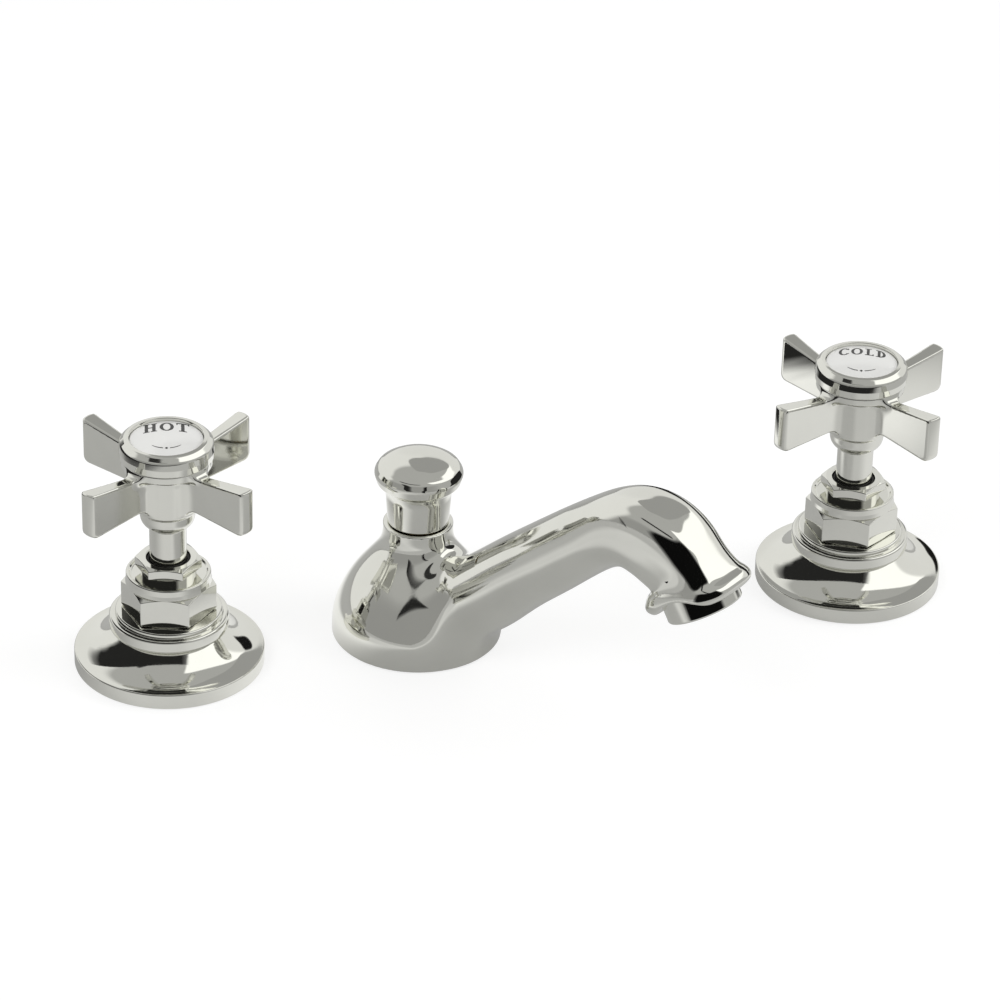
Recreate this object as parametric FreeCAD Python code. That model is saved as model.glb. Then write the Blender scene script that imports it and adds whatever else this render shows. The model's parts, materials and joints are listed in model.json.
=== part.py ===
import FreeCAD, Part
import math
import os

# Basin mixer tap: a hot valve, a cold valve and a low spout on three deck holes.
# Millimetres, +Z up. The origin is the middle of the spout's seat on the deck,
# and +X runs along the line of holes from the hot valve to the cold valve.

# Layout on the deck
hot_spacing = 83.0
cold_spacing = 150.0
deck_thickness = 20.0
spout_yaw_angle = 38.0
hot_arm_angle = 34.1
cold_arm_angle = 24.2
hot_hex_angle = -17.0
cold_hex_angle = -26.5

# Clearances and overrun
run_gap = 0.05
thread_gap = 0.05
knob_gap = 0.3
overrun = 1.0

# Threaded necks through the deck, the same on all three units
neck_radius = 14.0
thread_pitch = 1.5
thread_depth = 0.6
gasket_thickness = 2.5
washer_thickness = 1.5
washer_radius = 22.0
backnut_flats = 38.0
backnut_height = 7.0
nut_chamfer = 1.2

# Escutcheon and its seal
flange_radius = 31.0
rim_height = 5.2
rim_width = 4.4
seal_inset = 1.2
seal_width = 1.8
seal_height = 1.6
saucer_height = 13.2
saucer_wall = 2.4
boss_wall = 3.4
boss_lift = 2.0
saucer_sag_share = 0.22

# Valve body
neck_stand = 12.6
neck_tail = 34.0
bore_wall = 2.2
ledge_height = 1.0
waterway_wall = 3.0
barrel_radius = 16.5
barrel_bottom = 50.0
chamber_bottom = 46.0
seat_depth = 12.0
seat_tube_radius = 8.2
inlet_bore = 5.6
inlet_radius = 10.48
inlet_bottom = 62.0
outlet_depth = 41.0
outlet_radius = 8.33
outlet_bore = 5.5
outlet_reach = 27.0
outlet_shoulder_radius = 9.6
outlet_shoulder_reach = 18.5
outlet_turn_angle = 25.0

# Ceramic cartridge
seat_seal_height = 1.8
seat_seal_width = 2.0
disc_radius = 7.8
disc_thickness = 2.8
disc_window_inner = 2.2
disc_window_outer = 6.6
disc_window_angle = 64.0
dog_width = 2.6
dog_depth = 1.2
drive_bar_width = 7.0
drive_bar_height = 3.7
shoulder_height = 1.4
cartridge_radius = 9.4
cartridge_flange_height = 3.0
cartridge_upper_radius = 8.4
cartridge_top = 28.0
port_height = 3.2
port_width = 9.0
cartridge_lip = 1.0

# Spindle
stem_radius = 5.0
stem_top = 52.0
square_side = 7.0
square_top = 66.0
clip_height = 1.0
clip_groove_radius = 4.2
clip_radius = 6.6
clip_slot = 5.0
oring_wire = 1.3
oring_low = 12.0
oring_high = 20.0
tap_depth = 13.0

# Bonnet: bead flange, large hexagon and dished collar
bead_radius = 19.5
bead_height = 4.8
lip_radius = 17.4
lip_height = 6.4
bonnet_flats = 27.0
bonnet_hex_bottom = 19.9
bonnet_hex_top = 29.9
bonnet_hex_chamfer_radius = 13.8
bonnet_hex_chamfer_drop = 1.3
collar_foot_radius = 14.1
collar_radius = 13.8
collar_top = 33.6
collar_edge = 0.45
dish_radius = 12.2
dish_floor = 32.8

# Gland nut
gland_flats = 19.0
gland_hex_bottom = 35.2
gland_top = 38.8
gland_thread_radius = 9.0
gland_thread_length = 3.6
gland_bore = 7.15
gland_chamfer = 0.5

# Cross handle
handle_neck_radius = 6.0
handle_neck_bottom = 35.5
bowl_bottom = 50.4
bowl_radius = 8.7
bowl_top = 55.6
hub_radius = 10.8
hub_bottom = 57.6
cove_bottom = 71.3
band_radius = 14.7
band_bottom = 73.6
band_top = 76.5
arm_reach = 36.0
arm_low = 61.2
arm_top_root = 73.2
arm_top_tip = 77.3
arm_root_thickness = 3.9
arm_tip_thickness = 5.6
arm_tip_round = 1.4
arm_corner = 1.1
screw_seat = 68.0
screw_recess_radius = 5.2
cup_radius = 9.0
cup_floor = 73.4
cup_rim_radius = 12.5
cup_rim_top = 80.6

# Handle screw
screw_radius = 2.5
screw_head_radius = 4.6
screw_head_height = 3.4
screw_hex = 4.0
screw_hex_depth = 2.2
screw_hole_gap = 0.1

# Index bezel and porcelain disc
bezel_radius = 15.35
bezel_widest = 79.0
bezel_shoulder_radius = 14.55
bezel_shoulder = 81.9
bezel_top = 83.2
bezel_top_radius = 12.8
bezel_lip_radius = 11.9
index_radius = 12.2
index_edge = 1.6
index_crown = 0.8

# Spout casting
spout_base_radius = 28.0
spout_height = 41.6
tower_radius = 11.5
spout_shoulder_shares = [(0.99, 0.16), (0.89, 0.37), (0.735, 0.545), (0.555, 0.70), (0.443, 0.82)]
spout_seal_inset = 1.6
spout_rim_width = 5.0
spout_relief = 7.0
socket_depth = 12.0
chamber_top = 22.0
spout_reach = 111.0
spout_crest = 72.0
arm_radius = 13.5
# Stations of the arm: share of the reach, of the crest's height and of the arm's radius,
# and the section's half width as a share of its half height
arm_stations_shares = [
    (0.110, 0.165, 1.03, 0.99),
    (0.257, 0.352, 1.00, 0.99),
    (0.375, 0.523, 0.94, 0.99),
    (0.487, 0.674, 0.91, 0.99),
    (0.590, 0.813, 0.874, 0.99),
    (0.686, 0.927, 0.867, 0.99),
    (0.778, 0.993, 0.911, 0.99),
    (0.863, 0.994, 1.00, 0.96),
    (0.933, 0.917, 1.055, 0.90),
    (0.962, 0.881, 1.11, 0.87),
    (0.973, 0.857, 1.19, 0.86),
    (0.982, 0.833, 1.31, 0.86),
    (0.991, 0.809, 1.39, 0.86),
    (1.000, 0.785, 1.30, 0.86),
]
waterway_radius = 6.5
nozzle_angle = 30.0
nozzle_socket_depth = 8.0
lip_arch_half = 9.0
lip_arch_rise = 3.2

# Aerator
aerator_radius = 12.4
aerator_thread_radius = 11.5
aerator_bore = 9.8
aerator_showing = 5.0
aerator_lip = 1.2
aerator_seal_height = 1.5
aerator_seal_width = 2.6
aerator_hole_radius = 0.9
aerator_ring_radius = 3.2
aerator_rings = 2

# Pop-up waste: guide tube, nut, rod and knob
guide_radius = 4.0
guide_wall = 1.42
guide_overhang = 2.0
guide_nut_flats = 12.0
guide_nut_height = 4.4
guide_nut_lip = 1.2
rod_radius = 2.5
rod_bottom = 102.0
rod_end_radius = 2.1
rod_end_length = 18.0
rod_thread_length = 9.0
skirt_foot_radius = 10.1
skirt_radius = 10.75
skirt_flare = 10.1
flare_middle_radius = 11.5
flare_middle = 12.8
skirt_height = 14.9
skirt_recess_radius = 8.4
skirt_recess_depth = 8.0
cap_under_radius = 13.4
cap_radius = 14.6
cap_edge = 3.7
cap_shoulder = 1.7
cap_crown = 3.6
cap_shoulder_radius = 13.3

# Inlet tee
tee_radius = 18.0
tee_top = 51.0
tee_socket_bottom = 62.5
tee_chamber_bottom = 71.5
tee_bottom = 75.5
tee_branch_depth = 66.0
tee_branch_reach = 30.0
tee_shoulder_reach = 20.0

V = FreeCAD.Vector
up = V(0, 0, 1)
centre = V(0, 0, 0)


def outline(start, *steps):
    """Closed wire in the radius-height plane: a step is a point, or an arc's middle and end."""
    edges = []
    here = V(start[0], 0, start[1])
    first = here
    for step in steps + (start,):
        if len(step) == 4:
            end = V(step[2], 0, step[3])
            edges.append(Part.Arc(here, V(step[0], 0, step[1]), end).toShape())
        else:
            end = V(step[0], 0, step[1])
            if end.isEqual(here, 0):
                continue
            edges.append(Part.LineSegment(here, end).toShape())
        here = end
    assert here.isEqual(first, 0)
    return Part.Wire(edges)


def turned(start, *steps):
    """Solid of revolution about Z."""
    return Part.Face(outline(start, *steps)).revolve(centre, up, 360)


def ring(inner, outer, low, high):
    """Plain ring or, with no inner radius, plain disc."""
    return turned((inner, low), (outer, low), (outer, high), (inner, high))


def hexagon(flats, low, high, angle=0):
    """Hexagonal prism, with a flat facing -Y when the angle is zero."""
    corner = flats / math.sqrt(3)
    points = []
    for i in range(7):
        turn = math.radians(60 * i + angle)
        points.append(V(corner * math.cos(turn), corner * math.sin(turn), low))
    return Part.Face(Part.makePolygon(points)).extrude(V(0, 0, high - low))


def threaded(radius, low, high):
    """Outline steps of an outside thread drawn as rings, from its foot up to its top."""
    steps = []
    count = int((high - low) / thread_pitch)
    for i in range(count):
        foot = low + i * thread_pitch
        steps.append((radius, foot + thread_pitch / 4))
        steps.append((radius - thread_depth, foot + thread_pitch / 2))
        steps.append((radius, foot + 3 * thread_pitch / 4))
    steps.append((radius, high))
    return steps


def on_x(radius, start, end, height):
    """Cylinder along X."""
    return Part.makeCylinder(radius, end - start, V(start, 0, height), V(1, 0, 0))


def spigot(side, start, middle, shoulder, reach, height):
    """A hose spigot and its bore. It looks to +X or, with side -1, to -X, and is turned towards the back."""
    tube = on_x(outlet_radius, start, reach, height)
    solid = tube.fuse(on_x(outlet_shoulder_radius, start, shoulder, height))
    hole = on_x(outlet_bore, middle, reach + overrun, height)
    pair = []
    for shape in (solid, hole):
        if side < 0:
            shape = shape.mirror(centre, V(1, 0, 0))
        shape.rotate(centre, up, side * outlet_turn_angle)
        pair.append(shape)
    return pair


def dome(radius, edge, crown):
    """Outline step of a spherical dome, from its edge up to its crown on the axis."""
    ball = (radius * radius + crown * crown) / (2 * crown)
    half = math.asin(radius / ball) / 2
    return (ball * math.sin(half), edge + crown - ball * (1 - math.cos(half)), 0, edge + crown)


def torus_ring(radius, wire, height):
    return Part.makeTorus(radius, wire / 2, V(0, 0, height))


# Places worked out from the sizes above, in the valve's own frame
boss_radius = neck_radius + boss_wall
neck_bore = neck_radius - bore_wall
lower_bore = neck_radius - waterway_wall
seat_height = -seat_depth
disc_floor = seat_height + seat_seal_height
moving_floor = disc_floor + disc_thickness
bar_floor = moving_floor + disc_thickness
shoulder_floor = bar_floor + drive_bar_height
shoulder_top = shoulder_floor + shoulder_height
cartridge_bottom = seat_height + cartridge_lip
cartridge_flange_top = ledge_height + cartridge_flange_height
clip_floor = cartridge_top
clip_top = clip_floor + clip_height
gasket_top = -deck_thickness
gasket_bottom = gasket_top - gasket_thickness
washer_bottom = gasket_bottom - washer_thickness
backnut_bottom = washer_bottom - backnut_height
bead_top = saucer_height + bead_height
bead_root_radius = bead_radius - bead_height / 2
saucer_top_radius = bead_root_radius - thread_gap
lip_top = saucer_height + lip_height
index_floor = cup_rim_top


def escutcheon():
    rim_inner = flange_radius - rim_width
    seal_outer = flange_radius - seal_inset
    seal_inner = seal_outer - seal_width
    bore = neck_radius + thread_gap
    middle = (saucer_top_radius + flange_radius) / 2
    sag = rim_height + saucer_sag_share * (saucer_height - rim_height)
    inner_middle = (boss_radius + rim_inner) / 2
    roof = saucer_height - saucer_wall - saucer_wall / 2
    return turned(
        (bore, saucer_height),
        (saucer_top_radius, saucer_height),
        (middle - saucer_wall / 2, sag, flange_radius, rim_height),
        (flange_radius, 0),
        (seal_outer, 0),
        (seal_outer, seal_height),
        (seal_inner, seal_height),
        (seal_inner, 0),
        (rim_inner, 0),
        (rim_inner, rim_height - saucer_wall),
        (inner_middle, sag - saucer_wall + saucer_wall / 4, boss_radius, roof),
        (boss_radius, boss_lift),
        (bore, boss_lift),
    )


def base_seal(outer):
    return ring(outer - seal_width, outer, 0, seal_height)


def deck_gasket():
    return ring(neck_radius + thread_gap, washer_radius, gasket_bottom, gasket_top)


def thrust_washer():
    return ring(neck_radius + thread_gap, washer_radius, washer_bottom, gasket_bottom)


def backnut():
    corner = backnut_flats / math.sqrt(3)
    blank = turned(
        (neck_radius + thread_gap, backnut_bottom),
        (corner - nut_chamfer, backnut_bottom),
        (corner, backnut_bottom + nut_chamfer / 2),
        (corner, washer_bottom - nut_chamfer / 2),
        (corner - nut_chamfer, washer_bottom),
        (neck_radius + thread_gap, washer_bottom),
    )
    return blank.common(hexagon(backnut_flats, backnut_bottom, washer_bottom))


def valve_body(side):
    """Side is +1 where the outlet looks towards +X, and -1 where it looks towards -X."""
    neck = [(neck_radius, -neck_tail)] + threaded(neck_radius, -neck_tail, neck_stand)
    body = turned(
        (inlet_bore, -inlet_bottom),
        (inlet_radius - thread_depth, -inlet_bottom),
        (inlet_radius, thread_depth - inlet_bottom),
        (inlet_radius, -barrel_bottom),
        (barrel_radius - nut_chamfer, -barrel_bottom),
        (barrel_radius, nut_chamfer - barrel_bottom),
        (barrel_radius, -neck_tail - nut_chamfer),
        (barrel_radius - nut_chamfer, -neck_tail),
        *neck,
        (neck_bore, neck_stand),
        (neck_bore, ledge_height),
        (lower_bore, ledge_height),
        (lower_bore, -chamber_bottom),
        (seat_tube_radius, -chamber_bottom),
        (seat_tube_radius, seat_height),
        (inlet_bore, seat_height),
    )
    body.rotate(centre, up, -90)
    middle = (seat_tube_radius + lower_bore) / 2
    start = (barrel_radius + lower_bore) / 2
    branch, bore = spigot(side, start, middle, outlet_shoulder_reach, outlet_reach, -outlet_depth)
    return body.fuse(branch).cut(bore).removeSplitter()


def sector_window(angle, thickness, floor):
    """A sector of a ring, cut through a ceramic disc."""
    height = thickness + 2 * overrun
    foot = V(0, 0, floor - overrun)
    outer = Part.makeCylinder(disc_window_outer, height, foot, up, disc_window_angle)
    inner = Part.makeCylinder(disc_window_inner, height, foot, up)
    window = outer.cut(inner)
    window.rotate(centre, up, angle - disc_window_angle / 2)
    return window


def ceramic_disc(floor, angle):
    disc = ring(0, disc_radius, floor, floor + disc_thickness)
    for turn in (angle, angle + 180):
        disc = disc.cut(sector_window(turn, disc_thickness, floor))
    return disc


def fixed_disc():
    return ceramic_disc(disc_floor, 90)


def bar(width, length, low, high):
    box = Part.makeBox(length, width, high - low)
    box.translate(V(-length / 2, -width / 2, low))
    return box


def moving_disc():
    """Closed at rest: its windows stand a quarter turn away from the fixed disc's."""
    slot = bar(dog_width, 3 * disc_radius, bar_floor - dog_depth, bar_floor + overrun)
    slot.rotate(centre, up, 90)
    return ceramic_disc(moving_floor, 0).cut(slot)


def seat_seal():
    return ring(inlet_bore, inlet_bore + seat_seal_width, seat_height, disc_floor)


def cartridge_body():
    bore = disc_radius + run_gap
    body = turned(
        (bore, cartridge_bottom),
        (cartridge_radius, cartridge_bottom),
        (cartridge_radius, ledge_height),
        (neck_bore - 2 * run_gap, ledge_height),
        (neck_bore - 2 * run_gap, cartridge_flange_top),
        (cartridge_upper_radius, cartridge_flange_top),
        (cartridge_upper_radius, cartridge_top),
        (stem_radius + run_gap, cartridge_top),
        (stem_radius + run_gap, shoulder_top + run_gap),
        (bore, shoulder_top + run_gap),
    )
    port = bar(port_width, 2 * (cartridge_radius + overrun), bar_floor, bar_floor + port_height)
    return body.cut(port)


def spindle():
    groove = stem_radius - oring_wire
    grooves = []
    for middle in (oring_low, oring_high):
        grooves.append((stem_radius, middle - oring_wire / 2 - run_gap))
        grooves.append((groove, middle - oring_wire / 2 - run_gap))
        grooves.append((groove, middle + oring_wire / 2 + run_gap))
        grooves.append((stem_radius, middle + oring_wire / 2 + run_gap))
    stem = turned(
        (0, shoulder_floor),
        (disc_radius, shoulder_floor),
        (disc_radius, shoulder_top),
        (stem_radius, shoulder_top),
        *grooves,
        (stem_radius, clip_floor),
        (clip_groove_radius, clip_floor),
        (clip_groove_radius, clip_top),
        (stem_radius, clip_top),
        (stem_radius, square_top),
        (0, square_top),
    )
    drive = bar(drive_bar_width, 2 * disc_radius, bar_floor, shoulder_floor)
    drive = drive.common(ring(0, disc_radius, bar_floor, shoulder_floor))
    dog_floor = bar_floor - dog_depth + run_gap
    dog = bar(dog_width - 2 * run_gap, 2 * disc_radius - dog_depth, dog_floor, bar_floor)
    dog = dog.common(ring(0, disc_radius - run_gap, moving_floor, bar_floor))
    foot = drive.fuse(dog)
    foot.rotate(centre, up, 90)
    square = bar(square_side, square_side, stem_top, square_top)
    above = ring(0, stem_radius + overrun, stem_top, square_top + overrun).cut(square)
    tapped = ring(0, screw_radius, square_top - tap_depth, square_top + overrun)
    return stem.fuse(foot).cut(above).cut(tapped).removeSplitter()


def spindle_orings():
    middle = stem_radius + run_gap / 2 - oring_wire / 2
    rings = [torus_ring(middle, oring_wire, place) for place in (oring_low, oring_high)]
    return Part.makeCompound(rings)


def spindle_clip():
    clip = ring(clip_groove_radius, clip_radius, clip_floor, clip_top)
    slot = bar(clip_slot, clip_radius + overrun, clip_floor - overrun, clip_top + overrun)
    slot.translate(V((clip_radius + overrun) / 2, 0, 0))
    return clip.cut(slot)


def bonnet(angle):
    corner = bonnet_flats / math.sqrt(3)
    bore = cartridge_upper_radius + run_gap
    thread_bore = gland_thread_radius + thread_gap
    stub = neck_bore - thread_gap
    core = bonnet_flats / 2 - thread_depth
    middle_radius = (dish_radius + collar_radius) / 2
    profile = turned(
        (bore, cartridge_flange_top),
        (stub, cartridge_flange_top),
        (stub, saucer_height),
        (bead_root_radius, saucer_height),
        (bead_radius, saucer_height + bead_height / 2, bead_root_radius, bead_top),
        (lip_radius, bead_top + collar_edge),
        (lip_radius, lip_top - collar_edge),
        (lip_radius - collar_edge, lip_top),
        (core, bonnet_hex_bottom),
        (core, bonnet_hex_top),
        (collar_foot_radius, bonnet_hex_top),
        (collar_radius, collar_top - collar_edge),
        (collar_radius - collar_edge, collar_top),
        (middle_radius - collar_edge, dish_floor + collar_edge, dish_radius, dish_floor),
        (thread_bore, dish_floor),
        (thread_bore, dish_floor - gland_thread_length - thread_gap),
        (bore, dish_floor - gland_thread_length - thread_gap),
    )
    crown = turned(
        (stub, bonnet_hex_bottom),
        (corner, bonnet_hex_bottom),
        (corner, bonnet_hex_top - bonnet_hex_chamfer_drop),
        (bonnet_hex_chamfer_radius, bonnet_hex_top),
        (stub, bonnet_hex_top),
    )
    nut = crown.common(hexagon(bonnet_flats, bonnet_hex_bottom, bonnet_hex_top, angle))
    return profile.fuse(nut).removeSplitter()


def gland_nut(angle):
    corner = gland_flats / math.sqrt(3)
    stub_bottom = dish_floor - gland_thread_length
    blank = turned(
        (gland_bore, gland_hex_bottom),
        (corner, gland_hex_bottom),
        (corner, gland_top - gland_chamfer),
        (corner - 2 * gland_chamfer, gland_top),
        (gland_bore, gland_top),
    )
    stub = ring(gland_bore, gland_thread_radius, stub_bottom, gland_hex_bottom)
    return blank.common(hexagon(gland_flats, gland_hex_bottom, gland_top, angle)).fuse(stub).removeSplitter()


def rounded_section(reach, thickness, low, high, corner):
    """Upright rounded rectangle across an arm, at a distance along +X from the axis."""
    y = thickness / 2
    c = corner
    cut = c * (1 - math.sqrt(0.5))
    p = [V(reach, -y + c, low), V(reach, y - c, low), V(reach, y, low + c), V(reach, y, high - c),
         V(reach, y - c, high), V(reach, -y + c, high), V(reach, -y, high - c), V(reach, -y, low + c)]
    m = [V(reach, y - cut, low + cut), V(reach, y - cut, high - cut),
         V(reach, -y + cut, high - cut), V(reach, -y + cut, low + cut)]
    edges = []
    for i in range(4):
        edges.append(Part.LineSegment(p[2 * i], p[2 * i + 1]).toShape())
        edges.append(Part.Arc(p[2 * i + 1], m[i], p[(2 * i + 2) % 8]).toShape())
    return Part.Wire(edges)


def arm():
    """One paddle arm: thin and low at the hub, thick and tall at its rounded tip."""
    root = hub_radius / 2
    shoulder = arm_reach - arm_tip_round
    full = rounded_section(shoulder, arm_tip_thickness, arm_low, arm_top_tip, arm_corner)
    start = rounded_section(root, arm_root_thickness, arm_low, arm_top_root, arm_corner)
    end = rounded_section(arm_reach, arm_tip_thickness - 2 * arm_tip_round + arm_corner,
                          arm_low + arm_tip_round, arm_top_tip - arm_tip_round, arm_corner / 2)
    blade = Part.makeLoft([start, full], True, True)
    tip = Part.makeLoft([full, end], True, True)
    return blade.fuse(tip)


def handle(angle):
    """The cup at the top takes the index, and a square hole takes the spindle."""
    hub = turned(
        (0, handle_neck_bottom),
        (handle_neck_radius, handle_neck_bottom),
        (handle_neck_radius, bowl_bottom),
        ((handle_neck_radius + bowl_radius) / 2 + arm_corner, (bowl_bottom + bowl_top) / 2 - arm_corner / 2,
         bowl_radius, bowl_top),
        (hub_radius, hub_bottom),
        (hub_radius, cove_bottom),
        (hub_radius + arm_corner, band_bottom - arm_corner, band_radius - arm_corner, band_bottom),
        (band_radius, band_bottom + arm_corner),
        (band_radius, band_top),
        (cup_rim_radius, band_top),
        (cup_rim_radius, cup_rim_top),
        (cup_radius, cup_rim_top),
        (cup_radius, cup_floor),
        (screw_recess_radius, cup_floor),
        (screw_recess_radius, screw_seat),
        (0, screw_seat),
    )
    blade = arm()
    for i in range(4):
        turn = blade.copy()
        turn.rotate(centre, up, 90 * i)
        hub = hub.fuse(turn)
    stem_hole = ring(0, stem_radius + run_gap, handle_neck_bottom - overrun, stem_top + run_gap)
    side = square_side + 2 * run_gap
    square = bar(side, side, stem_top, square_top + run_gap)
    screw_hole = ring(0, screw_radius + screw_hole_gap, square_top, screw_seat + overrun)
    inside = ring(0, screw_recess_radius, screw_seat, cup_floor + overrun)
    solid = hub.cut(stem_hole).cut(square).cut(screw_hole).cut(inside).removeSplitter()
    solid.rotate(centre, up, angle)
    return solid


def handle_screw():
    shank = ring(0, screw_radius, square_top - tap_depth + overrun, screw_seat)
    head = ring(0, screw_head_radius, screw_seat, screw_seat + screw_head_height)
    top = screw_seat + screw_head_height
    socket = hexagon(screw_hex, top - screw_hex_depth, top + overrun)
    return shank.fuse(head).cut(socket).removeSplitter()


def index_bezel():
    inner = cup_rim_radius + thread_gap
    ledge = index_floor + index_edge + run_gap
    return turned(
        (inner, band_top),
        (bezel_radius - run_gap, band_top),
        (bezel_radius, bezel_widest),
        (bezel_shoulder_radius, bezel_shoulder, bezel_top_radius, bezel_top),
        (bezel_lip_radius, bezel_top - run_gap),
        (bezel_lip_radius, ledge),
        (inner, ledge),
    )


def index_disc():
    edge = index_floor + index_edge
    face = bezel_lip_radius - run_gap
    return turned(
        (0, index_floor),
        (index_radius, index_floor),
        (index_radius, edge),
        (face, edge),
        dome(face, edge, index_crown),
    )


# Places of the spout, in its own upright plane: reach along +X, height along +Z
nozzle_turn = math.radians(nozzle_angle)
nozzle_axis = V(math.sin(nozzle_turn), 0, -math.cos(nozzle_turn))
lip_centre = V(spout_reach * arm_stations_shares[-1][0], 0, spout_crest * arm_stations_shares[-1][1])


def station_points():
    return [V(spout_reach * s[0], 0, spout_crest * s[1]) for s in arm_stations_shares]


def arm_tube(tall, wide):
    """Loft through ovals that stand square to the arm's line, of given half heights and half widths."""
    points = station_points()
    wires = []
    for i, point in enumerate(points):
        before = points[max(i - 1, 0)]
        after = points[min(i + 1, len(points) - 1)]
        along = (after - before).normalize()
        if i == len(points) - 1:
            along = nozzle_axis
        across = V(0, 1, 0).cross(along)
        oval = Part.Ellipse(point + across * tall[i], point + V(0, wide[i], 0), point)
        wires.append(Part.Wire(oval.toShape()))
    return Part.makeLoft(wires, True, False)


def along_nozzle(shape):
    """Moves a piece that is drawn along -Z from the origin to the nozzle's lip and axis."""
    placed = shape.copy()
    placed.rotate(centre, V(0, 1, 0), -nozzle_angle)
    placed.translate(lip_centre)
    return placed


def spout_body():
    base = [(spout_base_radius * r, spout_height * z) for r, z in spout_shoulder_shares]
    bore = neck_radius + thread_gap
    rim_inner = spout_base_radius - spout_rim_width
    seal_outer = spout_base_radius - spout_seal_inset
    seal_inner = seal_outer - seal_width
    boss = bore + boss_wall
    curve = Part.BSplineCurve()
    line = [V(spout_base_radius, 0, 0)] + [V(r, 0, z) for r, z in base] + [V(tower_radius, 0, spout_height)]
    curve.interpolate(line)
    bottom = [V(spout_base_radius, 0, 0), V(seal_outer, 0, 0), V(seal_outer, 0, seal_height),
              V(seal_inner, 0, seal_height), V(seal_inner, 0, 0), V(rim_inner, 0, 0),
              V(rim_inner, 0, spout_relief), V(boss, 0, spout_relief), V(boss, 0, 0), V(0, 0, 0),
              V(0, 0, spout_height), V(tower_radius, 0, spout_height)]
    wire = Part.Wire([curve.toShape(), Part.makePolygon(bottom)])
    solid = Part.Face(wire).revolve(centre, up, 360)
    tall = [arm_radius * s[2] for s in arm_stations_shares]
    solid = solid.fuse(arm_tube(tall, [r * s[3] for r, s in zip(tall, arm_stations_shares)]))
    bores = [waterway_radius for s in arm_stations_shares]
    waterway = arm_tube(bores, [r - run_gap for r in bores])
    solid = solid.cut(waterway)
    solid = solid.cut(ring(0, bore, -overrun, socket_depth))
    solid = solid.cut(ring(0, lower_bore, 0, chamber_top))
    solid = solid.cut(ring(0, guide_radius + thread_gap, 0, spout_height + overrun))
    depth = nozzle_socket_depth
    socket = along_nozzle(ring(0, aerator_thread_radius + thread_gap, -overrun, depth + aerator_seal_height))
    counterbore = along_nozzle(ring(0, aerator_radius + thread_gap, -overrun, lip_arch_rise + thread_gap))
    return solid.cut(socket).cut(counterbore).cut(lip_arch()).removeSplitter()


def lip_arch():
    """Cylinder across the nozzle that arches both sides of its lip."""
    radius = (lip_arch_half ** 2 + lip_arch_rise ** 2) / (2 * lip_arch_rise)
    width = 2 * spout_base_radius
    tool = Part.makeCylinder(radius, width, V(0, -width / 2, lip_arch_rise - radius), V(0, 1, 0))
    return along_nozzle(tool)


def spout_shank():
    steps = threaded(neck_radius, -tee_socket_bottom, socket_depth)
    return turned(
        (lower_bore, -tee_socket_bottom),
        (neck_radius, -tee_socket_bottom),
        *steps,
        (lower_bore, socket_depth),
    )


def inlet_tee():
    bore = neck_radius + thread_gap
    guide = guide_radius + thread_gap
    body = turned(
        (guide, -tee_bottom),
        (tee_radius - nut_chamfer, -tee_bottom),
        (tee_radius, nut_chamfer - tee_bottom),
        (tee_radius, -tee_top - nut_chamfer),
        (tee_radius - nut_chamfer, -tee_top),
        (bore, -tee_top),
        (bore, -tee_socket_bottom),
        (lower_bore, -tee_socket_bottom),
        (lower_bore, -tee_chamber_bottom),
        (guide, -tee_chamber_bottom),
    )
    body.rotate(centre, up, -90)
    start = (tee_radius + lower_bore) / 2
    middle = (guide + lower_bore) / 2
    for side in (1, -1):
        branch, hole = spigot(side, start, middle, tee_shoulder_reach, tee_branch_reach, -tee_branch_depth)
        body = body.fuse(branch).cut(hole)
    return body.removeSplitter()


guide_bottom = -tee_bottom - guide_overhang
guide_top = spout_height + guide_nut_height - guide_nut_lip
knob_bottom = spout_height + knob_gap
skirt_top = knob_bottom + skirt_height


def rod_guide_tube():
    return ring(guide_radius - guide_wall, guide_radius, guide_bottom, guide_top)


def guide_nut():
    low = spout_height
    high = spout_height + guide_nut_height
    nut = hexagon(guide_nut_flats, low, high)
    nut = nut.cut(ring(0, guide_radius + thread_gap, low - overrun, guide_top + thread_gap))
    return nut.cut(ring(0, guide_radius - guide_wall, low, high + overrun))


def lift_rod():
    """Its lower end is turned down for the clamp of the waste's linkage."""
    shoulder = rod_end_length - rod_bottom
    top = knob_bottom + skirt_recess_depth + rod_thread_length
    return ring(0, rod_end_radius, -rod_bottom, shoulder).fuse(ring(0, rod_radius, shoulder, top))


def lift_knob():
    rod_top = knob_bottom + skirt_recess_depth + rod_thread_length
    widest = skirt_top + cap_edge
    shoulder = widest + cap_shoulder
    return turned(
        (skirt_recess_radius, knob_bottom),
        (skirt_foot_radius, knob_bottom),
        (skirt_radius, knob_bottom + skirt_flare),
        (flare_middle_radius, knob_bottom + flare_middle, cap_under_radius, skirt_top),
        (cap_radius, widest, cap_shoulder_radius, shoulder),
        dome(cap_shoulder_radius, shoulder, cap_crown),
        (0, rod_top),
        (rod_radius, rod_top),
        (rod_radius, knob_bottom + skirt_recess_depth),
        (skirt_recess_radius, knob_bottom + skirt_recess_depth),
    )


def aerator_housing():
    """Drawn along -Z from the nozzle's lip, with its threaded part above the lip."""
    length = nozzle_socket_depth
    body = turned(
        (aerator_bore, length),
        (aerator_thread_radius, length),
        (aerator_thread_radius, lip_arch_rise),
        (aerator_radius, lip_arch_rise),
        (aerator_radius, -aerator_showing + aerator_lip),
        (aerator_radius - aerator_lip / 2, -aerator_showing),
        (aerator_bore - aerator_lip, -aerator_showing),
        (aerator_bore - aerator_lip, -aerator_showing + aerator_lip),
        (aerator_bore, -aerator_showing + aerator_lip),
    )
    return along_nozzle(body)


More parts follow.
